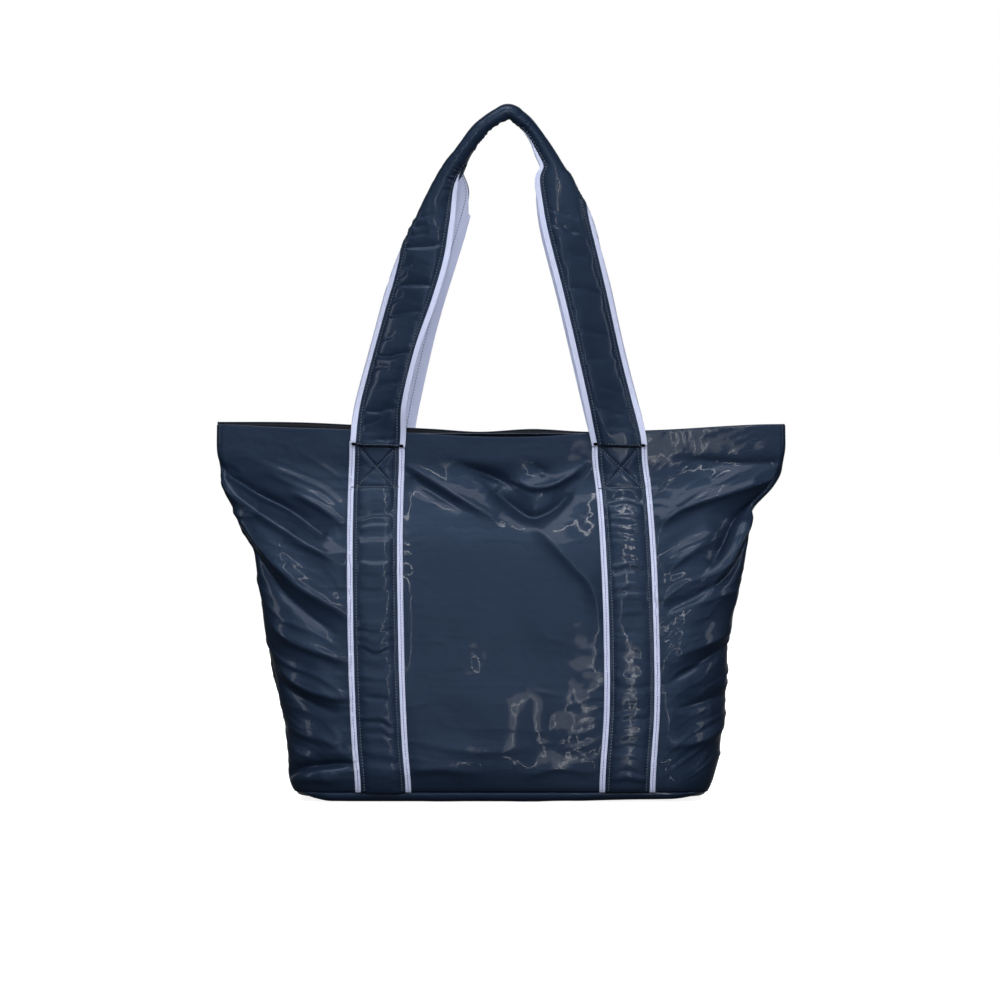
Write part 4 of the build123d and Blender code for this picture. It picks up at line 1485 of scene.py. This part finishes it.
# Where the world's light comes from, and how strong it is there
SKY_LOBES = (((0.04, -1.0, 0.42), 0.44), ((0.1, -1.0, -0.5), 0.22), ((0.1, 1.0, 0.42), 1.7))
SKY_FLOOR = 0.03
SKY_POWER = 11.0
CAMERA_PLACE = (0, -3.795, 0.271)
CAMERA_LENS = 150


def studio_floor():
    """A pale floor that takes the bag's shadow, and lets the lamps reach below it."""
    material = Material("studio_floor", (0.45, 0.45, 0.45), 0.9, Specular_IOR_Level=0.0,
                        Emission_Color=(1, 1, 1, 1))
    near = material.add("ShaderNodeTexGradient", gradient_type="SPHERICAL")
    material.links.new(material.scaled((0.25, 0.25, 0.25)), near.inputs["Vector"])
    glow = material.math("SUBTRACT", 1.0, material.math("MULTIPLY", near.outputs["Fac"], 0.15))
    material.links.new(glow, material.bsdf.inputs["Emission Strength"])
    bpy.ops.mesh.primitive_plane_add(size=120, location=(0, 0, 0))
    floor = bpy.context.object
    floor.name = "studio_floor"
    floor.data.materials.append(material.data)
    for rays in ("diffuse", "glossy", "shadow"):
        setattr(floor, f"visible_{rays}", False)
    return floor


def studio_backdrop():
    """A white ball round everything, which only the camera sees."""
    bpy.ops.mesh.primitive_uv_sphere_add(segments=48, ring_count=24, radius=58, location=(0, 0, 0))
    backdrop = bpy.context.object
    backdrop.name = "studio_backdrop"
    white = Material("studio_backdrop", (0, 0, 0), 1.0, Specular_IOR_Level=0.0, Emission_Color=(1, 1, 1, 1),
                     Emission_Strength=1.0)
    backdrop.data.materials.append(white.data)
    for rays in ("diffuse", "glossy", "transmission", "shadow"):
        setattr(backdrop, f"visible_{rays}", False)
    return backdrop


def build_world():
    """Soft light from in front, above and behind, from smooth lobes of brightness."""
    world = bpy.data.worlds.new("studio")
    bpy.context.scene.world = world
    world.use_nodes = True
    tree = world.node_tree
    toward = tree.nodes.new("ShaderNodeTexCoord").outputs["Generated"]
    glow = SKY_FLOOR
    for direction, strength in SKY_LOBES:
        dot = tree.nodes.new("ShaderNodeVectorMath")
        dot.operation = "DOT_PRODUCT"
        dot.inputs[1].default_value = Vector(direction).normalized()
        tree.links.new(toward, dot.inputs[0])
        lobe = math_node(tree, "POWER", math_node(tree, "MAXIMUM", dot.outputs["Value"], 0.0), SKY_POWER)
        glow = math_node(tree, "ADD", math_node(tree, "MULTIPLY", lobe, strength), glow)
    sky = tree.nodes["Background"]
    socket(sky, "Color", (0.94, 0.97, 1, 1))
    tree.links.new(glow, sky.inputs["Strength"])


def build_lamps():
    """Soft boxes in front, behind, above and to both sides, with a sheen lamp and the thin tubes."""
    lamps = LAMPS + [(f"tube_{k}", (0.33, -3.6, z), (width, height), TUBE_POWER * width * height)
                     for k, (z, width, height) in enumerate(TUBES)]
    made = []
    for name, place, size, power in lamps:
        data = bpy.data.lights.new(name, "AREA")
        data.shape = "RECTANGLE"
        data.size, data.size_y = size
        data.energy = power
        data.use_shadow = name != "ambient"
        light = bpy.data.objects.new(name, data)
        light.visible_glossy = name not in UNSEEN_LAMPS
        bpy.context.scene.collection.objects.link(light)
        light.location = place
        light.rotation_euler = (Vector(AIM) - Vector(place)).to_track_quat("-Z", "Y").to_euler()
        made.append(light)
    return made


def build_camera():
    scene = bpy.context.scene
    data = bpy.data.cameras.new("camera")
    data.lens = CAMERA_LENS
    data.sensor_width = 36
    camera = bpy.data.objects.new("camera", data)
    scene.collection.objects.link(camera)
    camera.location = CAMERA_PLACE
    camera.rotation_euler = (math.pi / 2, 0, 0)
    scene.camera = camera
    scene.view_settings.view_transform = "Standard"


def build_studio():
    made = [studio_floor(), studio_backdrop()]
    build_world()
    made += build_lamps()
    build_camera()


build_panels()
build_facings()
build_base()
build_straps()
build_body_stitching()
build_handles()
build_mouth_zip()
build_pouch()
build_side_bindings()
build_base_binding()
dress_metal()
build_studio()
